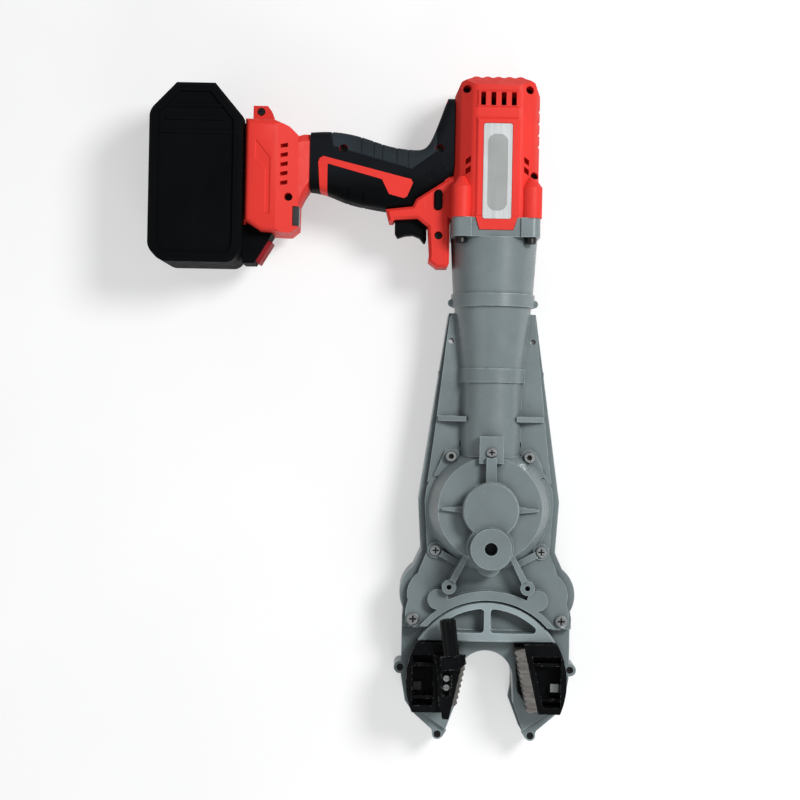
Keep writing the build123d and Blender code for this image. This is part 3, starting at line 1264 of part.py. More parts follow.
chevron = [(-190.0, 425.0), (-177.6, 409.8), (-177.4, 365.4), (-181.7, 365.4), (-181.9, 400.3)]
chevron += [(-190.0, 409.0)]
RAIL_X = (-212.0, -206.0, -197.0)
RAIL_Y = (358.0, 437.0)
RAIL_HALF = (18.0, 24.0)

with BuildSketch() as grip_outline:
    with BuildLine():
        Spline(*grip_top)
        Polyline(*grip_end)
        Spline(*grip_low)
        Line(grip_low[-1], grip_top[0])
    make_face()
with BuildSketch() as sleeve_outline:
    Polygon(*core_points, align=None)
    offset(amount=FIT, mode=Mode.REPLACE, kind=Kind.INTERSECTION)
with BuildSketch() as duct_outline:
    Polygon(*core_points, align=None)
    offset(amount=-SHELL - 1.0, mode=Mode.REPLACE, kind=Kind.INTERSECTION)

with BuildPart() as grip_blank:
    with BuildSketch(shelf(SPLIT_Z)):
        add(grip_outline.sketch)
    extrude(amount=HANDLE_RISE)
    fillet(grip_blank.edges().group_by(Axis.Z)[-1], GRIP_ROUND)
with BuildPart() as inlay_blank:
    add(grip_blank.part)
    with BuildSketch(shelf(SPLIT_Z)):
        Polygon(*inlay, align=None)
    extrude(amount=HANDLE_RISE, mode=Mode.INTERSECT)

casing_halves = {}
for name, up in (("casing_front", 1), ("casing_rear", -1)):
    far = -1 if up == 1 else 0
    # Motor housing: a many-sided section with rounded edges, a sloping end and ribs on that end.
    with BuildPart() as housing_lump:
        with BuildSketch(across(FLANGE_Y)):
            Polygon(*[(x, -up * rise) for x, rise in around(house_section)], align=None)
        extrude(amount=HOUSING_TOP_Y - FLANGE_Y)
        long_edges = housing_lump.edges().filter_by(Axis.Y)
        fillet(long_edges.filter_by(lambda edge: abs(edge.center().Z - SPLIT_Z) > 5), HOUSING_ROUND)
        with BuildSketch(shelf(SPLIT_Z)):
            Polygon(*around(house_half), align=None)
        extrude(amount=up * HOUSING_RISE, mode=Mode.INTERSECT)
        with BuildSketch(shelf(SPLIT_Z)):
            with Locations(*[(x, HOUSING_TOP_Y - END_RIB_R + 1.2) for x in END_RIBS]):
                Circle(END_RIB_R)
        extrude(amount=up * (HOUSING_RISE - 9))
        with BuildSketch(Plane.YZ):
            Polygon(
                (HOUSING_TOP_Y - 7, SPLIT_Z + up * HOUSING_RISE),
                (HOUSING_TOP_Y + 2, SPLIT_Z + up * (HOUSING_RISE - 13)),
                (HOUSING_TOP_Y + 2, SPLIT_Z + up * (HOUSING_RISE + 5)),
                (HOUSING_TOP_Y - 7, SPLIT_Z + up * (HOUSING_RISE + 5)),
                align=None,
            )
        extrude(amount=40, both=True, mode=Mode.SUBTRACT)
        with BuildSketch(shelf(SPLIT_Z + up * 3)):
            with Locations(*[(HOUSING_HALF, low) for low in SIDE_SLOTS]):
                Rectangle(2.4, 3, align=(Align.CENTER, Align.MIN))
        extrude(amount=up * 18, mode=Mode.SUBTRACT)
    with BuildPart() as guard_lump:
        with BuildSketch(shelf(SPLIT_Z)):
            Polygon(*guard_points, align=None)
        extrude(amount=up * GUARD_RISE)
        chamfer(guard_lump.edges().group_by(Axis.Z)[far], 2.0)
    with BuildPart() as foot_lump:
        with BuildSketch(shelf(SPLIT_Z)):
            Polygon(*foot_points, align=None)
        extrude(amount=up * FOOT_RISE)
        fillet(foot_lump.edges().group_by(Axis.Z)[far], 4.0)
        with BuildSketch(across(RAIL_Y[0] - 20)):
            Polygon(*[(x, -up * rise) for x, rise in foot_slope], align=None)
        extrude(amount=120, mode=Mode.SUBTRACT)
    with BuildPart() as casing:
        add(housing_lump.part)
        add(guard_lump.part)
        add(foot_lump.part)
        with BuildSketch(shelf(SPLIT_Z)):
            Polygon(*core_points, align=None)
        extrude(amount=up * CORE_RISE)
        if up == 1:
            add(inlay_blank.part)
        else:
            mirror(inlay_blank.part, about=shelf(SPLIT_Z))
        for x, low, high, rise in neck_sections:
            with BuildSketch(Plane(origin=(x, 0, SPLIT_Z), x_dir=(0, 1, 0), z_dir=(1, 0, 0))):
                neck = [(low, 0), (high, 0), (high, up * (rise - 6)), (high - 6, up * rise)]
                Polygon(*neck, (low + 6, up * rise), (low, up * (rise - 6)), align=None)
        loft(ruled=True)
        with BuildSketch(shelf(SPLIT_Z)):
            with Locations((-36.0, 431.0)):
                Rectangle(8, 56)
            with Locations((-36.5, 384.0)):
                Rectangle(8, 30)
        extrude(amount=up * 14)
        with BuildSketch(shelf(SPLIT_Z)):
            Polygon(*hook_points, align=None)
        extrude(amount=up * 12)
        for near, half in ((RAIL_X[2], RAIL_HALF[0]), (RAIL_X[1], RAIL_HALF[1])):
            with BuildSketch(shelf(SPLIT_Z)):
                with Locations((RAIL_X[0], RAIL_Y[0])):
                    Rectangle(near - RAIL_X[0], RAIL_Y[1] - RAIL_Y[0], align=(Align.MIN, Align.MIN))
            extrude(amount=up * half)
        # Columns round the flange screws.
        with BuildSketch(across(FLANGE_Y)):
            with Locations((-FLANGE_SCREW, -up * FLANGE_SCREW), (FLANGE_SCREW, -up * FLANGE_SCREW)):
                Circle(COLUMN_R)
        extrude(amount=24)
        with BuildSketch(across(FLANGE_Y + 24)):
            with Locations((-FLANGE_SCREW, -up * FLANGE_SCREW), (FLANGE_SCREW, -up * FLANGE_SCREW)):
                Circle(COLUMN_R)
        extrude(amount=8, taper=35)
        # Room for the motor, the switch, the wires and the terminals.
        with BuildSketch(across(FLANGE_Y)):
            Circle(CAVITY_R)
        extrude(amount=462 - FLANGE_Y, mode=Mode.SUBTRACT)
        with BuildSketch(shelf(SPLIT_Z)):
            add(duct_outline.sketch)
            with Locations((-176.0, 395.0)):
                Rectangle(30, 70)
            with Locations((-150.0, 408.0)):
                Rectangle(30, 30)
        extrude(amount=up * 11, mode=Mode.SUBTRACT)
        with BuildSketch(shelf(SPLIT_Z)):
            with Locations((-176.0, 395.0)):
                Rectangle(30, 70)
        extrude(amount=up * (FOOT_RISE - FOOT_SLOPE - 2), mode=Mode.SUBTRACT)
        with BuildSketch(shelf(SPLIT_Z)):
            with Locations((-191.0, 395.0)):
                Rectangle(FOOT_SLOPE_X[0] + 191.0, 70, align=(Align.MIN, Align.CENTER))
        extrude(amount=up * (FOOT_RISE - SHELL), mode=Mode.SUBTRACT)
        # Rings that hold the stator and the rear bearing.
        for low, thick, seat in (
            (STATOR_Y + 2, 5, STATOR_R),
            (STATOR_Y + 30, 5, STATOR_R),
            (REAR_BEARING_Y - 1, 9, 11.0),
        ):
            with BuildSketch(across(low)):
                Circle(CAVITY_R + 0.5)
                Circle(seat + FIT, mode=Mode.SUBTRACT)
                with Locations((0, up * 50)):
                    Rectangle(100, 100, mode=Mode.SUBTRACT)
            extrude(amount=thick)
        with BuildSketch(shelf(SPLIT_Z)):
            with Locations(*SIDE_SCREWS, HOOK):
                Circle(4.4)
        extrude(amount=up * 11.4)
        with BuildSketch(shelf(SPLIT_Z)):
            Polygon(*trigger_room, align=None)
        extrude(amount=up * (TRIGGER_HALF + 0.5), mode=Mode.SUBTRACT)
        with BuildSketch(shelf(SPLIT_Z)):
            with Locations(SWITCH_AT):
                SlotOverall(SWITCH_L + 0.6, SWITCH_W + 0.6, rotation=90)
        extrude(amount=up * 40, mode=Mode.SUBTRACT)
        with BuildSketch(across(FLANGE_Y)):
            with Locations((-FLANGE_SCREW, -up * FLANGE_SCREW), (FLANGE_SCREW, -up * FLANGE_SCREW)):
                Circle(2.5 + FIT)
        extrude(amount=14, mode=Mode.SUBTRACT)
        with BuildSketch(shelf(SPLIT_Z)):
            with Locations(*SIDE_SCREWS, HOOK):
                Circle(1.55)
        extrude(amount=up * (10 if up == 1 else 9), mode=Mode.SUBTRACT)
        if up == 1:
            with BuildSketch(shelf(SEAT_Z)):
                with Locations(*SIDE_SCREWS):
                    Circle(3.2)
            extrude(amount=60, mode=Mode.SUBTRACT)
            with BuildSketch(shelf(SEAT_Z)):
                with Locations(HOOK):
                    Circle(3.2)
            extrude(amount=60, mode=Mode.SUBTRACT)
            # Raised frame for the label, the vent block and the tongue over the flange.
            with BuildSketch(shelf(SPLIT_Z + HOUSING_RISE - 2)):
                with Locations((0, 405.5)):
                    RectangleRounded(36, 79, 2)
                with Locations((0, 458.5)):
                    RectangleRounded(36, 15, 2)
            extrude(amount=3.2, taper=20)
            with BuildSketch(shelf(SPLIT_Z + HOUSING_RISE - 2.2)):
                Polygon(*around([(16.2, 367.0), (16.2, 365.8), (13.2, 356.3)]), align=None)
            extrude(amount=2.6)
            with BuildSketch(shelf(SPLIT_Z + HOUSING_RISE + 0.2)):
                with Locations((0, 402.0)):
                    RectangleRounded(23, 75, 2)
            extrude(amount=5, mode=Mode.SUBTRACT)
            with BuildSketch(shelf(SPLIT_Z + 20)):
                with Locations(*[(x, 458.5) for x in (-12.0, -4.0, 4.0, 12.0)]):
                    Rectangle(3.9, 10.6)
            extrude(amount=40, mode=Mode.SUBTRACT)
        # Slanted vents beside the label, and vents and a chevron in the foot.
        with BuildSketch(shelf(SPLIT_Z + up * 22)):
            for side in (-1, 1):
                for low in (399.4, 407.0):
                    Polygon(
                        (side * 24.8, low),
                        (side * 20.8, low + 2.4),
                        (side * 20.8, low + 7.0),
                        (side * 24.8, low + 4.6),
                        align=None,
                    )
        extrude(amount=up * 40, mode=Mode.SUBTRACT)
        with BuildSketch(shelf(SPLIT_Z + up * 20)):
            for step in range(5):
                low = 388.0 + 7.3 * step
                Polygon(
                    (-170.0, low),
                    (-164.4, low + 1.6),
                    (-164.4, low + 4.8),
                    (-170.0, low + 3.2),
                    align=None,
                )
        extrude(amount=up * 30, mode=Mode.SUBTRACT)
        with BuildSketch(shelf(SPLIT_Z + up * (FOOT_RISE - 0.7))):
            Polygon(*chevron, align=None)
        extrude(amount=up * 5, mode=Mode.SUBTRACT)
        if up == 1:
            with BuildSketch(shelf(SPLIT_Z + LENS_LOW)):
                with Locations(LENS_AT):
                    Rectangle(5.4, 15.6)
            extrude(amount=40, mode=Mode.SUBTRACT)
    casing.part.label = name
    casing_halves[up] = casing.part
    export_step(casing.part, f"parts/{name}.step")

for name, up in (("grip_front", 1), ("grip_rear", -1)):
    with BuildPart() as grip:
        if up == 1:
            add(grip_blank.part)
        else:
            mirror(grip_blank.part, about=shelf(SPLIT_Z))
        with BuildSketch(shelf(SPLIT_Z)):
            with Locations((0, 420)):
                Rectangle(2 * HOUSING_HALF + 0.1, 120)
            with Locations((GRIP_LEFT, 410)):
                Rectangle(40, 120, align=(Align.MAX, Align.CENTER))
        extrude(amount=up * 60, mode=Mode.SUBTRACT)
        with BuildSketch(shelf(SPLIT_Z)):
            add(sleeve_outline.sketch)
        extrude(amount=up * (CORE_RISE + FIT), mode=Mode.SUBTRACT)
        with BuildSketch(shelf(SPLIT_Z)):
            Polygon(*inlay, align=None)
            offset(amount=0.15, mode=Mode.REPLACE)
        extrude(amount=up * 40, mode=Mode.SUBTRACT)
        with BuildSketch(shelf(SPLIT_Z)):
            with Locations(*SIDE_SCREWS[3:5]):
                Circle(3.4)
        extrude(amount=up * 40, mode=Mode.SUBTRACT)
        with BuildSketch(shelf(SPLIT_Z)):
            with Locations((-36.0, 431.0)):
                Rectangle(8.2, 56.2)
            with Locations((-36.5, 384.0)):
                Rectangle(8.2, 30.2)
        extrude(amount=up * (14 + FIT), mode=Mode.SUBTRACT)
        with BuildSketch(shelf(SPLIT_Z)):
            with Locations(SWITCH_AT):
                SlotOverall(SWITCH_L + 4, SWITCH_W + 4, rotation=90)
        extrude(amount=up * 40, mode=Mode.SUBTRACT)
        with BuildSketch(shelf(SPLIT_Z)):
            Polygon(*trigger_room, align=None)
        extrude(amount=up * (TRIGGER_HALF + 0.5), mode=Mode.SUBTRACT)
        add(casing_halves[up], mode=Mode.SUBTRACT)
    grip.part.label = name
    export_step(grip.part, f"parts/{name}.step")

# Small pieces on and in the casing.
LABEL_Y = 402.0
with BuildPart() as label_plate:
    with BuildSketch(shelf(SPLIT_Z + HOUSING_RISE + 0.2)):
        with Locations((0, LABEL_Y)):
            RectangleRounded(22.4, 74.4, 1.8)
    extrude(amount=0.8)
    with BuildSketch(shelf(SPLIT_Z + HOUSING_RISE + 1.0)):
        with Locations((0, LABEL_Y - 1)):
            RectangleRounded(15.6, 60, 6.6)
    extrude(amount=-0.2, mode=Mode.SUBTRACT)
label_plate.part.label = "label_plate"
export_step(label_plate.part, "parts/label_plate.step")

with BuildPart() as casing_screws:
    with BuildSketch(shelf(SEAT_Z)):
        with Locations(*SIDE_SCREWS, HOOK):
            Circle(2.9)
    extrude(amount=2.4)
    with BuildSketch(shelf(SEAT_Z)):
        with Locations(*SIDE_SCREWS, HOOK):
            Circle(1.5)
    extrude(amount=-18)
    with BuildSketch(shelf(SEAT_Z + 2.4)):
        with Locations(*SIDE_SCREWS, HOOK):
            Rectangle(3.2, 0.8)
            Rectangle(0.8, 3.2)
    extrude(amount=-1.2, mode=Mode.SUBTRACT)
casing_screws.part.label = "casing_screws"
export_step(casing_screws.part, "parts/casing_screws.step")

with BuildPart() as light_lens:
    with BuildSketch(shelf(SPLIT_Z + LENS_LOW)):
        with Locations(LENS_AT):
            Rectangle(5.2, 15.4)
    extrude(amount=LENS_HIGH - LENS_LOW)
light_lens.part.label = "light_lens"
export_step(light_lens.part, "parts/light_lens.step")

TRIGGER_TRAVEL = 6.0
trigger_points = [(TRIGGER_X[0], 374.0), (TRIGGER_X[0] + 0.2, 354.5), (TRIGGER_X[0] + 2.2, 351.0)]
trigger_points += [(-71.5, 353.0), (-65.0, 353.6), (-59.5, 351.4), (-56.4, 347.4), (-55.0, 347.4)]
trigger_points += [(TRIGGER_X[1], 350.0), (TRIGGER_X[1], 374.0)]
with BuildPart() as trigger:
    with BuildSketch(shelf(SPLIT_Z - TRIGGER_HALF)):
        Polygon(*trigger_points, align=None)
    extrude(amount=2 * TRIGGER_HALF)
    chamfer(trigger.edges().group_by(Axis.Z)[-1], 0.5)
    chamfer(trigger.edges().group_by(Axis.Z)[0], 0.5)
    with BuildSketch(shelf(SPLIT_Z - 3)):
        with Locations((-66.9, 377.0)):
            Rectangle(6, 6)
    extrude(amount=6)
trigger.part.label = "trigger"
export_step(trigger.part, "parts/trigger.step")

SWITCH_LOW_Y = 380.0 + TRIGGER_TRAVEL + GAP
with BuildPart() as switch_module:
    with BuildSketch(shelf(SPLIT_Z - TRIGGER_HALF)):
        with Locations((TRIGGER_X[0], SWITCH_LOW_Y)):
            Rectangle(TRIGGER_X[1] - TRIGGER_X[0], 397.6 - SWITCH_LOW_Y, align=(Align.MIN, Align.MIN))
    extrude(amount=2 * TRIGGER_HALF)
switch_module.part.label = "switch_module"
export_step(switch_module.part, "parts/switch_module.step")

SWITCH_STAND = 2.4
with BuildPart() as direction_switch:
    with BuildSketch(shelf(SPLIT_Z - GUARD_RISE - SWITCH_STAND)):
        with Locations(SWITCH_AT):
            SlotOverall(SWITCH_L, SWITCH_W, rotation=90)
    extrude(amount=2 * (GUARD_RISE + SWITCH_STAND))
    chamfer(direction_switch.edges().group_by(Axis.Z)[-1], 0.8)
    chamfer(direction_switch.edges().group_by(Axis.Z)[0], 0.8)
direction_switch.part.label = "direction_switch"
export_step(direction_switch.part, "parts/direction_switch.step")

with BuildPart() as terminal_block:
    with BuildSketch(shelf(SPLIT_Z - 20)):
        with Locations((-187.5, 395.0)):
            Rectangle(6.6, 50)
    extrude(amount=40)
    with BuildSketch(shelf(SPLIT_Z - 20)):
        with Locations((-180.0, 395.0)):
            Rectangle(8.4, 36)
    extrude(amount=30)
terminal_block.part.label = "terminal_block"
export_step(terminal_block.part, "parts/terminal_block.step")

# Battery: a case with its cells, a front cover, and a latch block with the release button.
PACK_SPLIT_Z = BATTERY_H - 7.0
PACK_WALL = 3.0
pack_points = [(-251.0, 466.0), (-221.0, 466.0), (-199.0, 440.0), (-199.0, 338.0), (-206.0, 326.5)]
pack_points += [(-262.0, 326.5), (-272.0, 337.0), (-272.0, 444.0)]
room_points = [(-249.0, 462.0), (-226.0, 462.0), (-217.0, 452.0), (-217.0, 331.0), (-260.5, 330.5)]
room_points += [(-268.0, 338.5), (-268.0, 442.5)]
slope = (-13.0, -21.6)
slope_length = math.hypot(*slope)
latch_corner = (-176.2, 351.3)
latch_middle = (latch_corner[0] + 0.62 * slope[0], latch_corner[1] + 0.62 * slope[1])
latch_points = [(-199.5, 360.4), (-198.0, 359.9), (-184.6, 351.8), latch_corner]
latch_points += [(latch_corner[0] + 1.1 * slope[0], latch_corner[1] + 1.1 * slope[1]), (-199.5, 327.5)]
latch_out = (-slope[1] / slope_length, slope[0] / slope_length, 0)
latch_plane = Plane(origin=(latch_middle[0], latch_middle[1], SPLIT_Z), x_dir=(0, 0, 1), z_dir=latch_out)
BUTTON_TRAVEL = 2.5
BUTTON_W = 26.0
BUTTON_L = 20.0
BUTTON_STAND = 3.6
BUTTON_POCKET = 6.0
rail_room = [(-190.0, RAIL_HALF[0]), (RAIL_X[1] + GAP, RAIL_HALF[1])]
with BuildPart() as battery_case:
    with BuildSketch():
        Polygon(*pack_points, align=None)
    extrude(amount=PACK_SPLIT_Z)
    chamfer(battery_case.edges().group_by(Axis.Z)[0], 2.0)
    with BuildSketch(shelf(SPLIT_Z - 18)):
        Polygon(*latch_points, align=None)
    extrude(amount=36)
    with BuildSketch(shelf(PACK_WALL)):
        Polygon(*room_points, align=None)
    extrude(amount=BATTERY_H, mode=Mode.SUBTRACT)
    for near, half in rail_room:
        with BuildSketch(shelf(SPLIT_Z - half - GAP)):
            with Locations((RAIL_X[0] - GAP, RAIL_Y[0] - GAP)):
                Rectangle(near - RAIL_X[0] + GAP, 122, align=(Align.MIN, Align.MIN))
        extrude(amount=2 * (half + GAP), mode=Mode.SUBTRACT)
    with BuildSketch(latch_plane):
        RectangleRounded(BUTTON_W + GAP, BUTTON_L + GAP, 2)
    extrude(amount=-BUTTON_POCKET, mode=Mode.SUBTRACT)
battery_case.part.label = "battery_case"
export_step(battery_case.part, "parts/battery_case.step")

with BuildPart() as battery_cover:
    with BuildSketch(shelf(PACK_SPLIT_Z)) as cover_face:
        Polygon(*pack_points, align=None)
    extrude(amount=BATTERY_H - PACK_SPLIT_Z)
    chamfer(battery_cover.edges().group_by(Axis.Z)[-1], 2.5)
    with BuildSketch(shelf(BATTERY_H)):
        add(cover_face.sketch_local)
        offset(amount=-7.0, mode=Mode.REPLACE, kind=Kind.INTERSECTION)
    extrude(amount=-1.8, mode=Mode.SUBTRACT)
    with BuildSketch(shelf(BATTERY_H - 1.8)):
        with Locations((-235.8, 448.0), (-235.8, 438.0)):
            Rectangle(46, 2.4)
        with Locations((-235.8, 427.5)):
            Rectangle(58, 2.4)
    extrude(amount=1.0)
battery_cover.part.label = "battery_cover"
export_step(battery_cover.part, "parts/battery_cover.step")

CELL_R = 9.1
CELL_L = 65.0
with BuildPart() as battery_cells:
    with BuildSketch(shelf(PACK_WALL)):
        with Locations(*[(x, 345.0 + 21.0 * row) for x in (-256.0, -229.0) for row in range(5)]):
            Circle(CELL_R)
    extrude(amount=CELL_L)
battery_cells.part.label = "battery_cells"
export_step(battery_cells.part, "parts/battery_cells.step")

with BuildPart() as battery_release_button:
    with BuildSketch(latch_plane.offset(-BUTTON_POCKET + BUTTON_TRAVEL + 0.5)):
        RectangleRounded(BUTTON_W, BUTTON_L, 1.8)
    extrude(amount=BUTTON_POCKET - BUTTON_TRAVEL - 0.5 + BUTTON_STAND)
    with BuildSketch(latch_plane.offset(BUTTON_STAND)):
        with Locations((-4.0, 0), (0, 0), (4.0, 0)):
            Rectangle(1.4, 12)
    extrude(amount=-0.5, mode=Mode.SUBTRACT)
battery_release_button.part.label = "battery_release_button"
export_step(battery_release_button.part, "parts/battery_release_button.step")
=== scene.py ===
"""Looks of a cordless rebar coupler wrench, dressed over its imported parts."""

import json
import math

import bmesh
import bpy
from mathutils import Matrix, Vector
from mathutils.bvhtree import BVHTree


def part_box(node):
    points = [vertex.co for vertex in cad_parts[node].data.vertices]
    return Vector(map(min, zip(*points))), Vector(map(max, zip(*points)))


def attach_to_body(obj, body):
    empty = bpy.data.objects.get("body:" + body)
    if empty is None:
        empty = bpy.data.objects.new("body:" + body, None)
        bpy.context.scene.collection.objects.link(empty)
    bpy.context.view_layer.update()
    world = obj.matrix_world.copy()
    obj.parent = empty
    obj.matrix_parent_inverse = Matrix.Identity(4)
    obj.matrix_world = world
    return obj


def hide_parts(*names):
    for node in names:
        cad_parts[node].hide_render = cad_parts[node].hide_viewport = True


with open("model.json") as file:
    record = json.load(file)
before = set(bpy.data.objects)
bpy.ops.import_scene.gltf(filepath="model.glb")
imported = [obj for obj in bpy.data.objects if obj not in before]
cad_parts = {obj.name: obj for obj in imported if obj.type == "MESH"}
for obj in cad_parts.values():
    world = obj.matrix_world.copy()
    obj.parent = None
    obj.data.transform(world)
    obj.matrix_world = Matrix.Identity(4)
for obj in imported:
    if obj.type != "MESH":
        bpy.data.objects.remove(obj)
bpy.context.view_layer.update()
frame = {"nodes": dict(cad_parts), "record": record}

bl_info = {
    "name": "Coupler Wrench Looks",
    "version": (1, 0, 0),
    "blender": (4, 5, 0),
    "location": "View3D > Sidebar > Wrench",
    "description": "Paint, rubber, screws and softened edges for a cordless coupler wrench",
    "category": "Object",
}

MM = 0.001
UP = (0.0, 0.0, 1.0)
TOWARDS_HEAD = (0.0, -1.0, 0.0)
BODY_OF = {node: body for body, nodes in frame["record"]["behaviour"]["bodies"].items() for node in nodes}
FINISH_MARK = "wrench_"

# Places are in millimetres: across the tool, along it from the head's axis, and above the floor.
SPLIT_Z = 40.0
ARM_Z = 26.0
TOOTH_ROOT = 53.0
BLACK_JAW_SCREWS_X = -45.0

# Screws: their spots, and the heights of the seats that they stand on.
CAP_SPOTS = [(-31.0, 178.0), (31.0, 178.0)]
CAP_SEAT = 48.0
GUARD_SPOTS = [(-68.4, 6.7), (68.4, 6.7), (-37.4, -46.6), (37.4, -46.6)]
GUARD_SEAT = 27.8
CASING_SPOTS = [(-24.6, 466.6), (24.6, 466.6), (29.6, 399.8), (-45.0, 421.0), (-121.0, 419.5)]
CASING_SPOTS += [(-44.8, 352.5), (-163.5, 379.7), (-187.0, 448.2)]
CASING_SEAT = 50.0
COVER_SPOTS = [(-42.0, 103.0, 48.0), (42.0, 103.0, 48.0), (-59.0, 48.0, 46.0), (59.0, 48.0, 46.0)]
COVER_SPOTS += [(0.0, 182.0, 70.0)]
COVER_SCALES = [1.1, 1.1, 1.25, 1.25, 1.0]
# The flange's screws lie along the tool, at the corners of a square about its axis.
FLANGE_SEAT = 351.0
FLANGE_SPOTS = [(x, z) for z in (-27.5, 27.5) for x in (-27.5, 27.5)]

# Screw sizes in metres, beside the head radii that a user can change.
CAP_SCREW = dict(head_height=0.005, rim=0.0005, drive=0.0023, drive_depth=0.0026)
CAP_SCREW.update(shank_radius=0.0019, shank_length=0.016)
GUARD_SCREW = dict(head_height=0.0016, rim=0.0003, drive=0.0015, drive_depth=0.0012)
GUARD_SCREW.update(shank_radius=0.0015, shank_length=0.012)
COVER_SCREW = dict(head_height=0.0026, rim=0.0008, drive=0.0022, drive_depth=0.0016)
COVER_SCREW.update(shank_radius=0.0019, shank_length=0.009)
CASING_SCREW = dict(head_height=0.0024, rim=0.0004, drive=0.0016, drive_depth=0.0012)
CASING_SCREW.update(shank_radius=0.00145, shank_length=0.014)
HEAD_SIDES = 40
SHANK_SIDES = 24
SOCKET_SIDES = 6

# Grip: the palm pad's border, the grooves across its back and belly, and the hatched patch.
PAD_LINE = [(-130.3, 426.0), (-129.4, 421.1), (-66.7, 404.2), (-47.3, 418.8)]
PAD_EDGE = [*PAD_LINE, (-47.2, 440.0)]
PAD_CUTS = [(-130.2, 424.4), (-107.1, 415.1), (-97.1, 412.4), (-90.4, 410.6)]
PAD_CUTS += [(-78.9, 407.5), (-69.9, 405.1), (-47.2, 423.4)]
FINGER_CUTS = [(-117.4, 388.0), (-104.8, 385.0)]
PATCH = [(-57.6, 399.9), (-48.3, 396.2), (-38.6, 402.3), (-44.4, 411.4)]
PATCH_ALONG = 5
PATCH_ACROSS = 6
# Rays that find the rubber start this far out and reach this many metres.
RAY_START = 60.0
RAY_REACH = 0.2
# A groove runs flat for some steps, then turns about a centre almost to the parting plane.
WRAP_FLAT_STEPS = 5
WRAP_FLAT_STEP = 1.2
WRAP_CENTRE_IN = 3.0
WRAP_CENTRE_OUT = 8.0
WRAP_TURN_FIRST = 2
WRAP_TURN_STEPS = 8
WRAP_TURN = 86.0

# Battery: the upright corners that are rounded, and how near an edge's ends lie to them.
PACK_CORNERS = [(-206.0, 326.5), (-262.0, 326.5), (-272.0, 337.0), (-272.0, 444.0)]
CORNER_REACH = 4.0
CORNER_SEGMENTS = 5
UPRIGHT_LEAST = 0.5

# Casing relief: the chevron's floor off the parting plane, and the rims of the frame and the vent block.
CHEVRON = [(-190.0, 425.0), (-177.6, 409.8), (-177.4, 365.4), (-181.7, 365.4)]
CHEVRON += [(-181.9, 400.3), (-190.0, 409.0)]
CHEVRON_FLOOR = 31.3
CHEVRON_LEAN = 0.95
RELIEF_TOP = 75.2
RELIEF_SIDE = 15.0
RELIEF_LEAN = 1.4
RELIEF_MATCH = 0.1
FRAME_END = 438.0
VENT_BLOCK_END = 448.0
VENT_BLOCK_MIDDLE = 458.5
VENT_LEAN = 0.6

# Matt field in the label plate: its half sizes and corners, its place off the plate's, and its height.
FIELD_HALF_X = 7.7
FIELD_HALF_Y = 29.9
FIELD_CORNER = 6.5
FIELD_CORNER_STEPS = 8
FIELD_SHIFT = 1.0
FIELD_SINK = 0.19
FIELD_RISE = 0.1

# Angles in degrees, past which an edge is rounded or shaded sharp, or below which faces are joined.
ROUND_ANGLE = 38.0
SHARP_ANGLE = 32.0
SCREW_SHARP_ANGLE = 30.0
FLAT_ANGLE = 0.5
# Metres within which corners are merged and slivers dropped.
MERGE_REACH = 2e-6
SLIVER_REACH = 1e-6

# Stage in metres and watts: each lamp's name, place, width and power.
LAMPS = (
    ("key_light", (0.90, 0.88, 1.46), 0.6, 25.0),
    ("fill_light", (-1.10, -0.25, 1.25), 1.4, 3.8),
    ("rim_light", (0.35, -1.15, 0.75), 0.9, 8.0),
)
LAMP_AIM = (-0.06, 0.22, 0.03)
SKY_COLOUR = (0.96, 0.98, 1.0, 1.0)
SKY_STRENGTH = 0.24
FLOOR_REACH = 6.0
FLOOR_Z = -0.0004
FLOOR_GLOW = 0.46
SENSOR_WIDTH = 36.0
CLIP_END = 50.0

# Most of a noise's values lie between these two.
NOISE_LOW = 0.3
NOISE_HIGH = 0.7
# Colour sockets of the Mix node, whose names repeat.
MIX_SHARE = 0
MIX_FIRST = 6
MIX_SECOND = 7
MIX_RESULT = 2


def colour(name, text, default):
    """A colour that a user can change."""
    return bpy.props.FloatVectorProperty(
        name=name, description=text, subtype="COLOR", size=3, min=0.0, max=1.0, default=default
    )


def length(name, text, default):
    """A length in metres that a user can change."""
    return bpy.props.FloatProperty(
        name=name, description=text, default=default, min=0.0,
        subtype="DISTANCE", unit="LENGTH", precision=5,
    )


class WrenchColours(bpy.types.PropertyGroup):
    """Colours of the wrench's finishes."""

    paint: colour("Casting paint", "Grey paint on the gear case, cover and tube", (0.186, 0.224, 0.232))
    shell: colour("Shell", "Red plastic of the casing", (0.80, 0.040, 0.029))
    rubber: colour("Rubber", "Soft grip over the handle", (0.0075, 0.0090, 0.0115))
    # The pad's colour is a lighter copy of the grip rubber: painted light on the grip's lit back.
    pad: colour("Palm pad", "Lighter rubber of the palm pad", (0.026, 0.034, 0.040))
    pack: colour("Battery", "Black plastic of the battery", (0.0026, 0.0032, 0.0038))
    enamel: colour("Jaw enamel", "Black finish on the jaw holders", (0.0034, 0.0037, 0.0042))
    steel: colour("Steel", "Bare steel of gears and shafts", (0.46, 0.45, 0.44))
    insert: colour("Insert steel", "Scuffed steel of the jaw inserts", (0.27, 0.255, 0.24))
    zinc: colour("Zinc", "Plated screws", (0.52, 0.54, 0.54))
    plate: colour("Plate", "Bare label plate", (0.62, 0.64, 0.64))
    inset: colour("Plate inset", "Matt field in the label plate", (0.34, 0.355, 0.345))
    button: colour("Release button", "Dark red battery release", (0.28, 0.022, 0.026))
    copper: colour("Copper", "Motor windings", (0.60, 0.24, 0.10))
    cells: colour("Cell wrap", "Sleeves on the battery cells", (0.03, 0.12, 0.30))


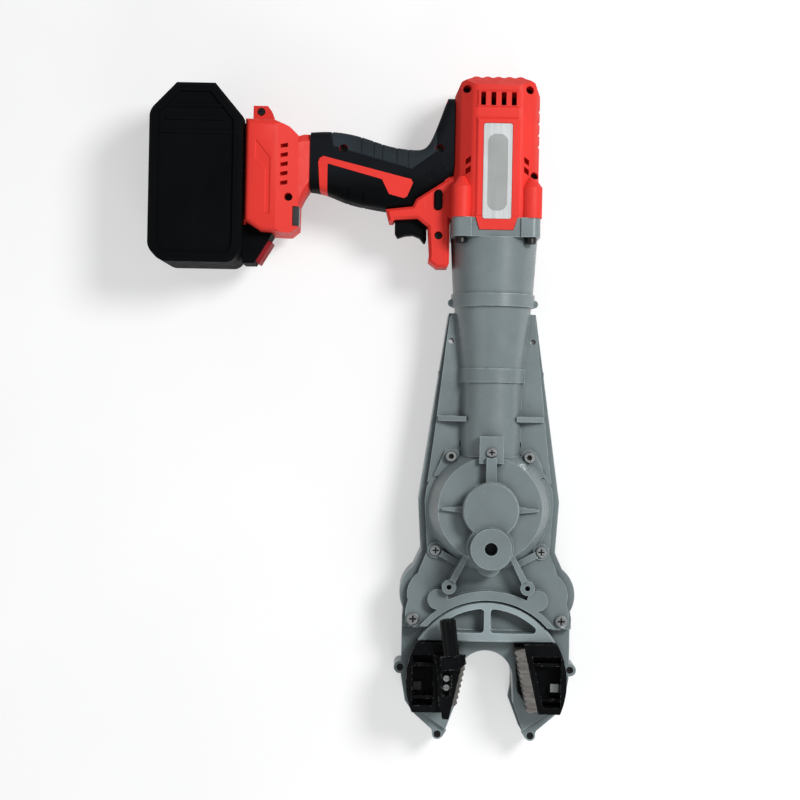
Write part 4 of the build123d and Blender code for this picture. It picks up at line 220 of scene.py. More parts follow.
class WrenchSizes(bpy.types.PropertyGroup):
    """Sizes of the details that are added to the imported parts."""

    casting_edge: length("Casting edge", "Rounding on the edges of the castings", 0.0007)
    shell_edge: length("Shell edge", "Rounding on the edges of the plastic", 0.0005)
    jaw_edge: length("Jaw edge", "Rounding on the edges of the jaw pieces", 0.0004)
    insert_edge: length("Insert edge", "Rounding on the edges of the jaw inserts", 0.0002)
    plate_edge: length("Plate edge", "Rounding on the edges of the label plate", 0.00015)
    lens_edge: length("Lens edge", "Rounding on the edges of the light's lens", 0.0003)
    pack_corner: length("Battery corner", "Set-back of the battery's rounded upright corners", 0.0045)
    groove: length("Grip groove", "Radius of the grooves in the grip", 0.0007)
    hatch: length("Grip hatch", "Radius of the fine lines in the grip's patch", 0.00025)
    cap_head: length("Cap head", "Head radius of the socket screws", 0.00425)
    guard_head: length("Guard head", "Head radius of the arm guards' screws", 0.0027)
    cross_head: length("Cross head", "Head radius of the cover's cross-head screws", 0.0040)
    casing_head: length("Casing head", "Head radius of the casing screws", 0.0029)


class WrenchStage(bpy.types.PropertyGroup):
    """Camera above the tool."""

    height: length("Camera height", "Camera above the floor", 1.440)
    lens: bpy.props.FloatProperty(
        name="Lens", description="Focal length in millimetres", default=78.75, min=1.0
    )
    roll: bpy.props.FloatProperty(
        name="Roll", description="Turn of the picture about the line of sight",
        default=math.radians(1.13), subtype="ANGLE",
    )
    spot: bpy.props.FloatVectorProperty(
        name="Aim", description="Point on the floor under the camera",
        size=2, default=(-0.0726, 0.2218), subtype="XYZ",
    )


class Nodes:
    """Short calls that put nodes into a tree."""

    def add(self, kind, feeds=None, **settings):
        """A node with its settings, and a value or a link on each named input."""
        node = self.tree.nodes.new(kind)
        for key, value in settings.items():
            setattr(node, key, value)
        for key, value in (feeds or {}).items():
            if isinstance(value, bpy.types.NodeSocket):
                self.tree.links.new(value, node.inputs[key])
            else:
                node.inputs[key].default_value = value
        return node

    def maths(self, operation, first, second):
        return self.add("ShaderNodeMath", {0: first, 1: second}, operation=operation).outputs[0]

    def product(self, first, second):
        return self.maths("MULTIPLY", first, second)


class Finish(Nodes):
    """One material, with short calls for the nodes that its look needs."""

    def __init__(self, name, roughness, metallic=0.0, coat=0.0, coat_roughness=0.1, gloss=0.5):
        self.material = bpy.data.materials.new(FINISH_MARK + name)
        self.material.use_nodes = True
        self.tree = self.material.node_tree
        self.shader = self.tree.nodes["Principled BSDF"]
        self.set("Metallic", metallic)
        self.set("Roughness", roughness)
        self.set("Coat Weight", coat)
        self.set("Coat Roughness", coat_roughness)
        self.set("Specular IOR Level", gloss)
        self.place = self.add("ShaderNodeTexCoord").outputs["Object"]

    def set(self, socket, value):
        self.shader.inputs[socket].default_value = value

    def feed(self, socket, source):
        self.tree.links.new(source, self.shader.inputs[socket])

    def stretched(self, scale):
        return self.add("ShaderNodeMapping", {"Vector": self.place, "Scale": scale}).outputs["Vector"]

    def noise(self, scale, detail=3.0, roughness=0.55, place=None):
        feeds = {"Vector": place or self.place, "Scale": scale, "Detail": detail, "Roughness": roughness}
        return self.add("ShaderNodeTexNoise", feeds).outputs["Fac"]

    def cells(self, scale):
        feeds = {"Vector": self.place, "Scale": scale}
        return self.add("ShaderNodeTexVoronoi", feeds).outputs["Distance"]

    def waves(self, scale):
        feeds = {"Vector": self.place, "Scale": scale}
        return self.add("ShaderNodeTexWave", feeds, bands_direction="Y").outputs["Fac"]

    def span(self, value, low=NOISE_LOW, high=NOISE_HIGH, to_low=0.0, to_high=1.0):
        feeds = {"Value": value, "From Min": low, "From Max": high, "To Min": to_low, "To Max": to_high}
        return self.add("ShaderNodeMapRange", feeds).outputs["Result"]

    def blend(self, share, first, second):
        feeds = {MIX_SHARE: share, MIX_FIRST: first, MIX_SECOND: second}
        return self.add("ShaderNodeMix", feeds, data_type="RGBA").outputs[MIX_RESULT]

    def sum(self, first, second, share):
        return self.maths("ADD", first, self.product(second, share))

    def roughen(self, value, least, most):
        """Roughness between two limits, as a noise's value rises."""
        self.feed("Roughness", self.span(value, to_low=least, to_high=most))

    def bump(self, height, strength, distance):
        feeds = {"Height": height, "Strength": strength, "Distance": distance}
        self.feed("Normal", self.add("ShaderNodeBump", feeds).outputs["Normal"])

    def edge(self, radius):
        """A mask that is 1 along the edges, where paint wears first and where the castings get a painted
        highlight.
        """
        rounded = self.add("ShaderNodeBevel", {"Radius": radius}, samples=4).outputs["Normal"]
        flat = self.add("ShaderNodeNewGeometry").outputs["Normal"]
        facing = self.add("ShaderNodeVectorMath", {0: rounded, 1: flat}, operation="DOT_PRODUCT")
        return self.span(facing.outputs["Value"], low=0.995, high=0.90)

    def open(self, reach):
        """A mask that falls to 0 in the creases and recesses: painted shade there, with some grime in the
        joints.
        """
        return self.add("ShaderNodeAmbientOcclusion", {"Distance": reach}, samples=8).outputs["AO"]


def rgba(value, scale):
    """A colour with its brightness scaled, as a shader's socket takes it."""
    return (*[min(1.0, channel * scale) for channel in value], 1.0)


def casting_paint(name, tone, scale=1.0, crease=0.008):
    """Sprayed paint on a casting: slow tone changes, painted shade in the creases, orange peel, and
    lighter edges that are partly worn paint and partly a painted highlight.
    """
    skin = Finish(name, roughness=0.36)
    slow = skin.span(skin.noise(24.0, detail=4.0, roughness=0.6), low=0.32, high=0.68)
    base = skin.blend(slow, rgba(tone, 0.90 * scale), rgba(tone, 1.09 * scale))
    speck = skin.span(skin.noise(420.0, detail=2.0), low=0.66, high=0.74)
    base = skin.blend(skin.product(speck, 0.25), base, rgba(tone, 1.5 * scale))
    # Painted shade: the paint darkens towards 0.42 of its tone in creases and recesses, with some grime in
    # the joints.
    clear = skin.span(skin.open(crease), low=0.30, high=0.85)
    base = skin.blend(clear, rgba(tone, 0.42 * scale), base)
    # Lighter edges, up to 2.2 times the tone: partly worn paint, partly a painted highlight along the
    # rims.
    patches = skin.span(skin.noise(160.0, detail=4.0), low=0.26, high=0.56)
    worn_and_lit_edges = skin.product(skin.edge(0.0011), patches)
    skin.feed("Base Color", skin.blend(skin.product(worn_and_lit_edges, 0.85), base, rgba(tone, 2.2 * scale)))
    skin.roughen(skin.noise(60.0), 0.25, 0.39)
    peel = skin.sum(skin.noise(620.0), skin.noise(95.0, detail=2.0), share=1.2)
    skin.bump(peel, strength=0.16, distance=0.0004)


def shell_plastic(name, tone):
    """Moulded red plastic with a fine spark grain."""
    skin = Finish(name, roughness=0.52, gloss=0.22)
    slow = skin.span(skin.noise(16.0))
    base = skin.blend(slow, rgba(tone, 0.93), rgba(tone, 1.05))
    streaks = skin.noise(260.0, detail=5.0, roughness=0.7, place=skin.stretched((1.0, 0.25, 1.0)))
    scuff = skin.span(streaks, low=0.62, high=0.80)
    skin.feed("Base Color", skin.blend(skin.product(scuff, 0.10), base, (0.95, 0.30, 0.26, 1.0)))
    skin.roughen(skin.noise(180.0), 0.46, 0.58)
    grain = skin.sum(skin.noise(2600.0, detail=2.0), skin.cells(1900.0), share=0.5)
    skin.bump(grain, strength=0.10, distance=0.00012)


def grip_rubber(name, tone):
    """Soft overmould: matt, with a leathery stipple, lighter worn spots and painted shade over the belly.
    """
    skin = Finish(name, roughness=0.62, gloss=0.05)
    slow = skin.span(skin.noise(30.0, detail=4.0))
    base = skin.blend(slow, rgba(tone, 0.82), rgba(tone, 1.2))
    dust = skin.span(skin.noise(300.0, detail=4.0), low=0.60, high=0.78)
    base = skin.blend(skin.product(dust, 0.25), base, rgba(tone, 2.4))
    # Painted shade: the rubber darkens towards 0.2 of its tone along the belly, at the low end along the
    # tool.
    along = skin.add("ShaderNodeSeparateXYZ", {0: skin.place}).outputs["Y"]
    back = skin.span(along, low=0.388, high=0.404)
    skin.feed("Base Color", skin.blend(back, rgba(tone, 0.2), base))
    skin.roughen(skin.noise(90.0), 0.52, 0.72)
    stipple = skin.sum(skin.cells(1150.0), skin.noise(2200.0, detail=2.0), share=0.4)
    skin.bump(stipple, strength=0.32, distance=0.00025)


def pack_plastic(name, tone, rough):
    """Black moulded plastic with faint handling marks."""
    skin = Finish(name, roughness=rough, gloss=0.04)
    slow = skin.span(skin.noise(22.0, detail=4.0))
    base = skin.blend(slow, rgba(tone, 0.8), rgba(tone, 1.25))
    streaks = skin.noise(210.0, detail=6.0, roughness=0.7, place=skin.stretched((1.0, 0.12, 1.0)))
    marks = skin.span(streaks, low=0.63, high=0.78)
    skin.feed("Base Color", skin.blend(skin.product(marks, 0.30), base, rgba(tone, 4.5)))
    skin.roughen(skin.noise(120.0, detail=4.0), rough - 0.07, rough + 0.12)
    skin.bump(skin.noise(2100.0), strength=0.12, distance=0.00012)


def jaw_enamel(name, tone, bare):
    """Thick black finish, glossy, chipped to bare steel along the edges."""
    skin = Finish(name, roughness=0.30, coat=0.06, coat_roughness=0.12, gloss=0.08)
    slow = skin.span(skin.noise(40.0, detail=4.0))
    base = skin.blend(slow, rgba(tone, 0.7), rgba(tone, 1.6))
    chips = skin.span(skin.noise(330.0, detail=5.0, roughness=0.65), low=0.54, high=0.60)
    worn = skin.product(skin.edge(0.0007), chips)
    skin.feed("Base Color", skin.blend(worn, base, rgba(bare, 0.75)))
    skin.feed("Metallic", skin.product(worn, 0.9))
    skin.roughen(skin.noise(150.0, detail=4.0), 0.22, 0.42)
    lumps = skin.sum(skin.noise(240.0, detail=4.0), skin.noise(900.0, detail=2.0), share=0.4)
    skin.bump(lumps, strength=0.22, distance=0.0004)


def worked_steel(name, tone, rough=0.32, run=(1.0, 1.0, 0.06), stain=0.35, grain=1.0):
    """Machined steel: fine tool lines along one way and darker stains."""
    skin = Finish(name, metallic=1.0, roughness=rough)
    lines = skin.noise(900.0, detail=4.0, roughness=0.6, place=skin.stretched(run))
    spots = skin.span(skin.noise(130.0, detail=5.0, roughness=0.65), low=0.50, high=0.70)
    ridges = skin.span(lines)
    base = skin.blend(ridges, rgba(tone, 1.0 - 0.18 * grain), rgba(tone, 1.0 + 0.12 * grain))
    skin.feed("Base Color", skin.blend(skin.product(spots, stain), base, rgba(tone, 0.42)))
    skin.roughen(lines, rough - 0.08, rough + 0.10)
    skin.bump(lines, strength=0.10 * grain, distance=0.0001)


def plate_metal(name, tone, rough):
    """Bare label plate, brushed along its length."""
    skin = Finish(name, metallic=0.25, roughness=rough, gloss=0.3)
    lines = skin.noise(700.0, detail=4.0, roughness=0.6, place=skin.stretched((1.0, 0.03, 1.0)))
    cloud = skin.span(skin.noise(45.0, detail=4.0, roughness=0.6), low=0.35, high=0.68)
    base = skin.blend(skin.span(lines), rgba(tone, 0.92), rgba(tone, 1.06))
    skin.feed("Base Color", skin.blend(skin.product(cloud, 0.35), base, rgba(tone, 1.28)))
    skin.roughen(lines, rough - 0.06, rough + 0.08)
    skin.bump(lines, strength=0.05, distance=0.00008)


def lens_plastic(name):
    """Smoky clear lens over the work light."""
    skin = Finish(name, roughness=0.22, gloss=0.2)
    facets = skin.waves(320.0)
    skin.feed("Base Color", skin.blend(facets, (0.035, 0.038, 0.040, 1.0), (0.10, 0.105, 0.11, 1.0)))
    skin.set("Transmission Weight", 0.25)
    skin.bump(facets, strength=0.25, distance=0.0003)


def wire_copper(name, tone):
    """Enamelled wire laid in close turns."""
    skin = Finish(name, metallic=0.9, roughness=0.28, coat=0.5)
    turns = skin.waves(420.0)
    skin.feed("Base Color", skin.blend(turns, rgba(tone, 0.45), rgba(tone, 1.15)))
    skin.bump(turns, strength=0.5, distance=0.0004)


def stacked_sheets(name, tone):
    """Laminated iron: thin sheets across the motor's axis."""
    skin = Finish(name, metallic=0.8, roughness=0.45)
    sheets = skin.waves(620.0)
    skin.feed("Base Color", skin.blend(sheets, rgba(tone, 0.35), rgba(tone, 0.65)))
    skin.bump(sheets, strength=0.3, distance=0.0002)


def floor_paper(name):
    """Pale paper that looks white to the camera and in reflections, and keeps the tool's shadow."""
    skin = Finish(name, roughness=0.9, gloss=0.1)
    tint = skin.span(skin.noise(3.0))
    skin.feed("Base Color", skin.blend(tint, (0.54, 0.54, 0.54, 1.0), (0.58, 0.58, 0.58, 1.0)))
    skin.set("Emission Color", (1.0, 1.0, 1.0, 1.0))
    rays = skin.add("ShaderNodeLightPath").outputs
    seen = skin.maths("MAXIMUM", rays["Is Camera Ray"], rays["Is Glossy Ray"])
    seen = skin.maths("MAXIMUM", seen, rays["Is Transmission Ray"])
    skin.feed("Emission Strength", skin.product(seen, FLOOR_GLOW))
    return skin.material


def finishes():
    """The wrench's materials by name, made once."""
    tones = bpy.context.scene.wrench_colours
    if f"{FINISH_MARK}casting_paint" not in bpy.data.materials:
        casting_paint("casting_paint", tones.paint)
        # A lighter copy of the casting paint for the crown, as painted light, with the painted crease
        # shade reaching further.
        casting_paint("crown_paint", tones.paint, scale=1.6, crease=0.022)
        shell_plastic("shell_plastic", tones.shell)
        grip_rubber("grip_rubber", tones.rubber)
        # A lighter copy of the grip rubber for the pad: painted light on the grip's lit back.
        grip_rubber("pad_rubber", tones.pad)
        pack_plastic("pack_plastic", tones.pack, rough=0.62)
        pack_plastic("control_plastic", tones.pack, rough=0.60)
        pack_plastic("button_plastic", tones.button, rough=0.50)
        pack_plastic("cell_wrap", tones.cells, rough=0.28)
        jaw_enamel("jaw_enamel", tones.enamel, tones.steel)
        worked_steel("gear_steel", tones.steel)
        worked_steel("insert_steel", tones.insert, rough=0.46, run=(0.1, 1.0, 1.0), stain=0.6)
        worked_steel("bearing_steel", tones.steel, rough=0.16, run=(1.0, 0.1, 1.0), stain=0.1)
        worked_steel("screw_zinc", tones.zinc, rough=0.34, run=(1.0, 1.0, 0.3), stain=0.15, grain=0.3)
        black = rgba(tones.steel, 0.10)[:3]
        worked_steel("screw_black", black, rough=0.40, run=(1.0, 1.0, 0.3), stain=0.2, grain=0.5)
        plate_metal("plate_metal", tones.plate, rough=0.36)
        plate_metal("plate_inset", tones.inset, rough=0.5)
        lens_plastic("lens_plastic")
        wire_copper("wire_copper", tones.copper)
        stacked_sheets("stacked_sheets", tones.steel)
    made = [item for item in bpy.data.materials if item.name.startswith(FINISH_MARK)]
    return {item.name.removeprefix(FINISH_MARK): item for item in made}


def linked(name, data):
    """A new object in the scene."""
    item = bpy.data.objects.new(name, data)
    bpy.context.scene.collection.objects.link(item)
    return item


def formed(name, form, material):
    """A piece with a form as its mesh and one finish."""
    mesh = bpy.data.meshes.new(name)
    form.to_mesh(mesh)
    form.free()
    mesh.materials.append(finishes()[material])
    return linked(name, mesh)


def merged_form(node, flatten=True):
    """The node's triangles with their shared corners joined, as a bmesh."""
    source = frame["nodes"][node].data
    form = bmesh.new()
    corners = [form.verts.new(vert.co) for vert in source.vertices]
    for face in source.polygons:
        form.faces.new([corners[index] for index in face.vertices])
    bmesh.ops.remove_doubles(form, verts=form.verts, dist=MERGE_REACH)
    bmesh.ops.dissolve_degenerate(form, edges=form.edges, dist=SLIVER_REACH)
    if flatten:
        limit = math.radians(FLAT_ANGLE)
        bmesh.ops.dissolve_limit(form, angle_limit=limit, verts=form.verts, edges=form.edges)
    return form


def baked(item):
    """The mesh that an object's modifiers or curve settings make."""
    graph = bpy.context.evaluated_depsgraph_get()
    return bpy.data.meshes.new_from_object(item.evaluated_get(graph))


def settle(piece):
    """Turns the modifiers' result into the piece's own mesh."""
    mesh = baked(piece)
    mesh.name = piece.name
    piece.modifiers.clear()
    piece.data = mesh


def smooth_by_angle(form, degrees=SHARP_ANGLE):
    """Smooth shading that keeps the edges sharper than an angle."""
    limit = math.radians(degrees)
    for face in form.faces:
        face.smooth = True
    for line in form.edges:
        line.smooth = len(line.link_faces) == 2 and line.calc_face_angle(0.0) < limit


def smooth_piece(piece, degrees=SHARP_ANGLE):
    """The same shading on a finished piece."""
    form = bmesh.new()
    form.from_mesh(piece.data)
    smooth_by_angle(form, degrees)
    form.to_mesh(piece.data)
    form.free()


def attach(piece, node):
    """Makes a piece beside a node move with the node's body."""
    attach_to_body(piece, BODY_OF[node])


def dress(piece, node):
    """Makes the piece stand for a node and move with its body."""
    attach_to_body(piece, BODY_OF[node])
    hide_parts(node)


def round_corners(form, corners, width):
    """Rounds the upright edges whose ends are within reach of some corners."""
    spots = [Vector(corner) * MM for corner in corners]
    chosen = []
    for line in form.edges:
        first, second = [vert.co for vert in line.verts]
        upright = abs(first.z - second.z) > UPRIGHT_LEAST * MM
        gaps = [min((end.xy - spot).length for spot in spots) for end in (first, second)]
        if upright and max(gaps) < CORNER_REACH * MM:
            chosen.append(line)
    rounding = dict(segments=CORNER_SEGMENTS, profile=0.5, affect="EDGES", clamp_overlap=True)
    bmesh.ops.bevel(form, geom=chosen, offset=width, **rounding)


def inset(points, by):
    """The points of a clockwise outline, each moved inwards by a distance from both its sides."""
    moved = []
    for index, spot in enumerate(points):
        before = (spot - points[index - 1]).normalized()
        after = (points[(index + 1) % len(points)] - spot).normalized()
        inward = Vector((before.y + after.y, -before.x - after.x))
        moved.append(spot + inward * (2.0 * by / inward.length_squared))
    return moved


def lean_walls(form):
    """Leans the low walls of the foot's chevron and of the raised frames on the housing."""
    match = RELIEF_MATCH * MM
    outline = [Vector(spot) * MM for spot in CHEVRON]
    floor = list(zip(outline, inset(outline, CHEVRON_LEAN * MM)))
    for vert in form.verts:
        spot = vert.co
        if abs(abs(spot.z - SPLIT_Z * MM) - CHEVRON_FLOOR * MM) < match:
            for corner, inner in floor:
                if (spot.xy - corner).length < match:
                    spot.xy = inner
        elif abs(spot.z - RELIEF_TOP * MM) < match and abs(spot.x) > RELIEF_SIDE * MM:
            spot.x -= math.copysign(RELIEF_LEAN * MM, spot.x)
            if spot.y > VENT_BLOCK_END * MM:
                spot.y -= math.copysign(VENT_LEAN * MM, spot.y - VENT_BLOCK_MIDDLE * MM)
            elif spot.y > FRAME_END * MM:
                spot.y -= RELIEF_LEAN * MM


def keep_inside(piece, node):
    """Puts points that the rounding pushed past a node's box back onto it."""
    low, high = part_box(node)
    for vert in piece.data.vertices:
        vert.co = [min(max(value, first), last) for value, first, last in zip(vert.co, low, high)]


def softened(node, material, width, segments=2, shape=None):
    """A copy of a node with its edges rounded, after a change to its shape where one is given."""
    form = merged_form(node)
    if shape:
        shape(form)
    smooth_by_angle(form)
    piece = formed(f"{node}_soft", form, material)
    round_off = piece.modifiers.new("edge", "BEVEL")
    round_off.width = width
    round_off.segments = segments
    round_off.limit_method = "ANGLE"
    round_off.angle_limit = math.radians(ROUND_ANGLE)
    round_off.use_clamp_overlap = True
    round_off.harden_normals = True
    settle(piece)
    keep_inside(piece, node)
    dress(piece, node)


def grooved(node, material, cutters):
    """A copy of a node with thin grooves cut into its skin."""
    piece = formed(f"{node}_grooved", merged_form(node, flatten=False), material)
    for cutter in cutters:
        cut = piece.modifiers.new("groove", "BOOLEAN")
        cut.operation = "DIFFERENCE"
        cut.solver = "EXACT"
        cut.use_self = True
        cut.object = cutter
    settle(piece)
    for cutter in cutters:
        bpy.data.objects.remove(cutter)
    smooth_piece(piece)
    dress(piece, node)
    return piece


def paint_node(node, material, other=None, pick=None):
    """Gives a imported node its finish, and another where a test picks a face's middle."""
    mesh = frame["nodes"][node].data
    mesh.materials.clear()
    mesh.materials.append(finishes()[material])
    if other:
        mesh.materials.append(finishes()[other])
        for face in mesh.polygons:
            face.material_index = int(pick(face.center))


def tubes(name, runs, radius):
    """Thin round cutters along lines of points, in one object."""
    curve = bpy.data.curves.new(name, "CURVE")
    curve.dimensions = "3D"
    curve.bevel_depth = radius
    curve.bevel_resolution = 1
    curve.use_fill_caps = True
    for points in runs:
        line = curve.splines.new("POLY")
        line.points.add(len(points) - 1)
        for spot, point in zip(line.points, points):
            spot.co = (*point, 1.0)
    holder = linked(name, curve)
    mesh = baked(holder)
    bpy.data.objects.remove(holder)
    return linked(name, mesh)


class ScrewTree(Nodes):
    """A geometry tree that grows screws on points, with named inputs for their sizes."""

    sizes = [("Head radius", 0.004), ("Head height", 0.004), ("Rim", 0.0005), ("Shank radius", 0.002)]
    sizes += [("Shank length", 0.012), ("Drive", 0.002), ("Drive depth", 0.002)]

    def __init__(self, name, cross):
        self.tree = bpy.data.node_groups.new(name, "GeometryNodeTree")
        sockets = self.tree.interface
        sockets.new_socket("Geometry", in_out="INPUT", socket_type="NodeSocketGeometry")
        for label, default in self.sizes:
            socket = sockets.new_socket(label, in_out="INPUT", socket_type="NodeSocketFloat")
            socket.default_value = default
        for label in ("Finish", "Drive finish"):
            sockets.new_socket(label, in_out="INPUT", socket_type="NodeSocketMaterial")
        sockets.new_socket("Geometry", in_out="OUTPUT", socket_type="NodeSocketGeometry")
        self.inlet = self.add("NodeGroupInput").outputs
        cut = self.boolean("DIFFERENCE", {"Mesh 1": self.head(), "Mesh 2": self.drive(cross)})
        screw = self.add("GeometryNodeJoinGeometry", {"Geometry": cut.outputs["Mesh"]})
        self.tree.links.new(self.shank(), screw.inputs["Geometry"])
        self.add("NodeGroupOutput", {"Geometry": self.set_out(screw.outputs["Geometry"])})

    def boolean(self, operation, feeds):
        return self.add("GeometryNodeMeshBoolean", feeds, operation=operation, solver="EXACT")

    def lifted(self, geometry, height):
        shift = self.add("ShaderNodeCombineXYZ", {"Z": height}).outputs[0]
        return self.add("GeometryNodeTransform", {"Geometry": geometry, "Translation": shift}).outputs[0]

    def coated(self, geometry, finish):
        feeds = {"Geometry": geometry, "Material": self.inlet[finish]}
        return self.add("GeometryNodeSetMaterial", feeds).outputs[0]

    def cylinder(self, sides, radius, depth):
        feeds = {"Vertices": sides, "Radius": radius, "Depth": depth}
        return self.add("GeometryNodeMeshCylinder", feeds).outputs

    def attribute(self, name, kind):
        feeds = {"Name": name}
        return self.add("GeometryNodeInputNamedAttribute", feeds, data_type=kind).outputs["Attribute"]

    def head(self):
        """A head with a bevelled rim, standing on its seat."""
        inlet = self.inlet
        wall = self.maths("SUBTRACT", inlet["Head height"], inlet["Rim"])
        drum = self.cylinder(HEAD_SIDES, inlet["Head radius"], wall)
        feeds = {"Mesh": drum["Mesh"], "Selection": drum["Top"], "Offset Scale": inlet["Rim"]}
        feeds["Individual"] = False
        rim = self.add("GeometryNodeExtrudeMesh", feeds).outputs
        share = self.maths("SUBTRACT", 1.0, self.maths("DIVIDE", inlet["Rim"], inlet["Head radius"]))
        feeds = {"Geometry": rim["Mesh"], "Selection": rim["Top"], "Scale": share}
        top = self.add("GeometryNodeScaleElements", feeds).outputs[0]
        return self.lifted(self.coated(top, "Finish"), self.product(wall, 0.5))

    def drive(self, cross):
        """The form of the cross or the hexagonal socket, centred on the head's top."""
        inlet = self.inlet
        deep = self.product(inlet["Drive depth"], 2.0)
        if cross:
            narrow = self.product(inlet["Drive"], 0.5)
            wide = self.product(inlet["Drive"], 2.0)
            bars = []
            for x, y in ((wide, narrow), (narrow, wide)):
                size = self.add("ShaderNodeCombineXYZ", {"X": x, "Y": y, "Z": deep}).outputs[0]
                bars.append(self.add("GeometryNodeMeshCube", {"Size": size}).outputs["Mesh"])
            both = self.boolean("UNION", {"Mesh 2": bars[0]})
            self.tree.links.new(bars[1], both.inputs["Mesh 2"])
            recess = both.outputs["Mesh"]
        else:
            recess = self.cylinder(SOCKET_SIDES, inlet["Drive"], deep)["Mesh"]
        # The recess's walls take a dark finish: on the zinc screws it is painted shade in the socket, on
        # the black screws their own black.
        return self.lifted(self.coated(recess, "Drive finish"), inlet["Head height"])

    def shank(self):
        """A plain round shank under the seat."""
        inlet = self.inlet
        rod = self.cylinder(SHANK_SIDES, inlet["Shank radius"], inlet["Shank length"])["Mesh"]
        return self.lifted(self.coated(rod, "Finish"), self.product(inlet["Shank length"], -0.5))

    def set_out(self, screw):
        """The screw on every point, turned and widened as the point says, as a real mesh."""
        points = self.add("GeometryNodeMeshToPoints", {"Mesh": self.inlet["Geometry"]}).outputs["Points"]
        facing = self.attribute("facing", "FLOAT_VECTOR")
        turn = self.add("FunctionNodeAlignRotationToVector", {"Vector": facing}, axis="Z")
        wide = self.attribute("wide", "FLOAT")
        girth = self.add("ShaderNodeCombineXYZ", {"X": wide, "Y": wide, "Z": 1.0}).outputs[0]
        feeds = {"Points": points, "Instance": screw, "Rotation": turn.outputs["Rotation"], "Scale": girth}
        copies = self.add("GeometryNodeInstanceOnPoints", feeds).outputs["Instances"]
        real = self.add("GeometryNodeRealizeInstances", {"Geometry": copies}).outputs["Geometry"]
        feeds = {"Material": self.inlet["Drive finish"]}
        dark = self.add("GeometryNodeMaterialSelection", feeds).outputs["Selection"]
        rest = self.add("FunctionNodeBooleanMath", {0: dark}, operation="NOT").outputs[0]
        feeds = {"Geometry": real, "Selection": rest, "Material": self.inlet["Finish"]}
        return self.add("GeometryNodeSetMaterial", feeds).outputs["Geometry"]


def screws(name, tree, spots, material, facing=UP, scales=None, **sizes):
    """Screws grown by a tree on spots, as a plain mesh."""
    mesh = bpy.data.meshes.new(name)
    mesh.from_pydata([[value * MM for value in spot] for spot in spots], [], [])
    for row in mesh.attributes.new("facing", "FLOAT_VECTOR", "POINT").data:
        row.vector = facing
    widths = mesh.attributes.new("wide", "FLOAT", "POINT").data
    for row, scale in zip(widths, scales or [1.0] * len(spots)):
        row.value = scale
    piece = linked(name, mesh)
    grow = piece.modifiers.new("grow", "NODES")
    grow.node_group = tree
    idents = {item.name: item.identifier for item in tree.interface.items_tree if item.in_out == "INPUT"}
    grow[idents["Finish"]] = finishes()[material]
    # The sockets are dark: painted shade on the zinc screws, the screws' own black on the black ones.
    grow[idents["Drive finish"]] = finishes()["screw_black"]
    for label, value in sizes.items():
        grow[idents[label.replace("_", " ").capitalize()]] = value
    settle(piece)
    smooth_piece(piece, SCREW_SHARP_ANGLE)
    return piece


class WRENCH_OT_stage(bpy.types.Operator):
    """Pale floor, soft studio light and the camera above the tool"""

    bl_idname = "wrench.stage"
    bl_label = "Stage"

    def execute(self, context):
        scene = context.scene
        scene.view_settings.view_transform = "Standard"
        self.sky(scene)
        self.floor()
        for lamp in LAMPS:
            self.lamp(*lamp)
        self.camera(scene)
        return {"FINISHED"}

    def sky(self, scene):
        scene.world = bpy.data.worlds.new("studio")
        scene.world.use_nodes = True
        background = scene.world.node_tree.nodes["Background"]
        background.inputs["Color"].default_value = SKY_COLOUR
        background.inputs["Strength"].default_value = SKY_STRENGTH

    def floor(self):
        mesh = bpy.data.meshes.new("floor")
        corners = [(-1, -1), (1, -1), (1, 1), (-1, 1)]
        places = [(x * FLOOR_REACH, y * FLOOR_REACH, FLOOR_Z) for x, y in corners]
        mesh.from_pydata(places, [], [(0, 1, 2, 3)])
        mesh.materials.append(floor_paper("floor_paper"))
        linked("floor", mesh)

    def lamp(self, name, spot, width, power):
        light = bpy.data.lights.new(name, "AREA")
        light.shape = "DISK"
        light.size = width
        light.energy = power
        holder = linked(name, light)
        holder.location = spot
        aim = Vector(LAMP_AIM) - Vector(spot)
        holder.rotation_euler = aim.to_track_quat("-Z", "Y").to_euler()

    def camera(self, scene):
        setup = scene.wrench_stage
        view = bpy.data.cameras.new("photo_camera")
        view.sensor_width = SENSOR_WIDTH
        view.lens = setup.lens
        view.clip_end = CLIP_END
        holder = linked("photo_camera", view)
        holder.location = (*setup.spot, setup.height)
        holder.rotation_euler = (0.0, 0.0, setup.roll)
        scene.camera = holder


class WRENCH_OT_castings(bpy.types.Operator):
    """Gear case, tube, cover and arm guards with rounded edges and grey paint"""

    bl_idname = "wrench.castings"
    bl_label = "Castings"

    def execute(self, context):
        width = context.scene.wrench_sizes.casting_edge
        for node in ("gear_case", "gear_tube", "front_cover", "arm_guard_left", "arm_guard_right"):
            softened(node, "casting_paint", width)
        # The crown takes the lighter copy of the casting paint: painted light.
        softened("rotor_crown", "crown_paint", width)
        paint_node("ring_rotor", "casting_paint", "gear_steel", self.toothed)
        return {"FINISHED"}

    def toothed(self, spot):
        return spot.xy.length > TOOTH_ROOT * MM and spot.z < ARM_Z * MM


class WRENCH_OT_casing(bpy.types.Operator):
    """The two red casing halves"""

    bl_idname = "wrench.casing"
    bl_label = "Casing"

    def execute(self, context):
        width = context.scene.wrench_sizes.shell_edge
        for node in ("casing_front", "casing_rear"):
            softened(node, "shell_plastic", width, shape=lean_walls)
        return {"FINISHED"}


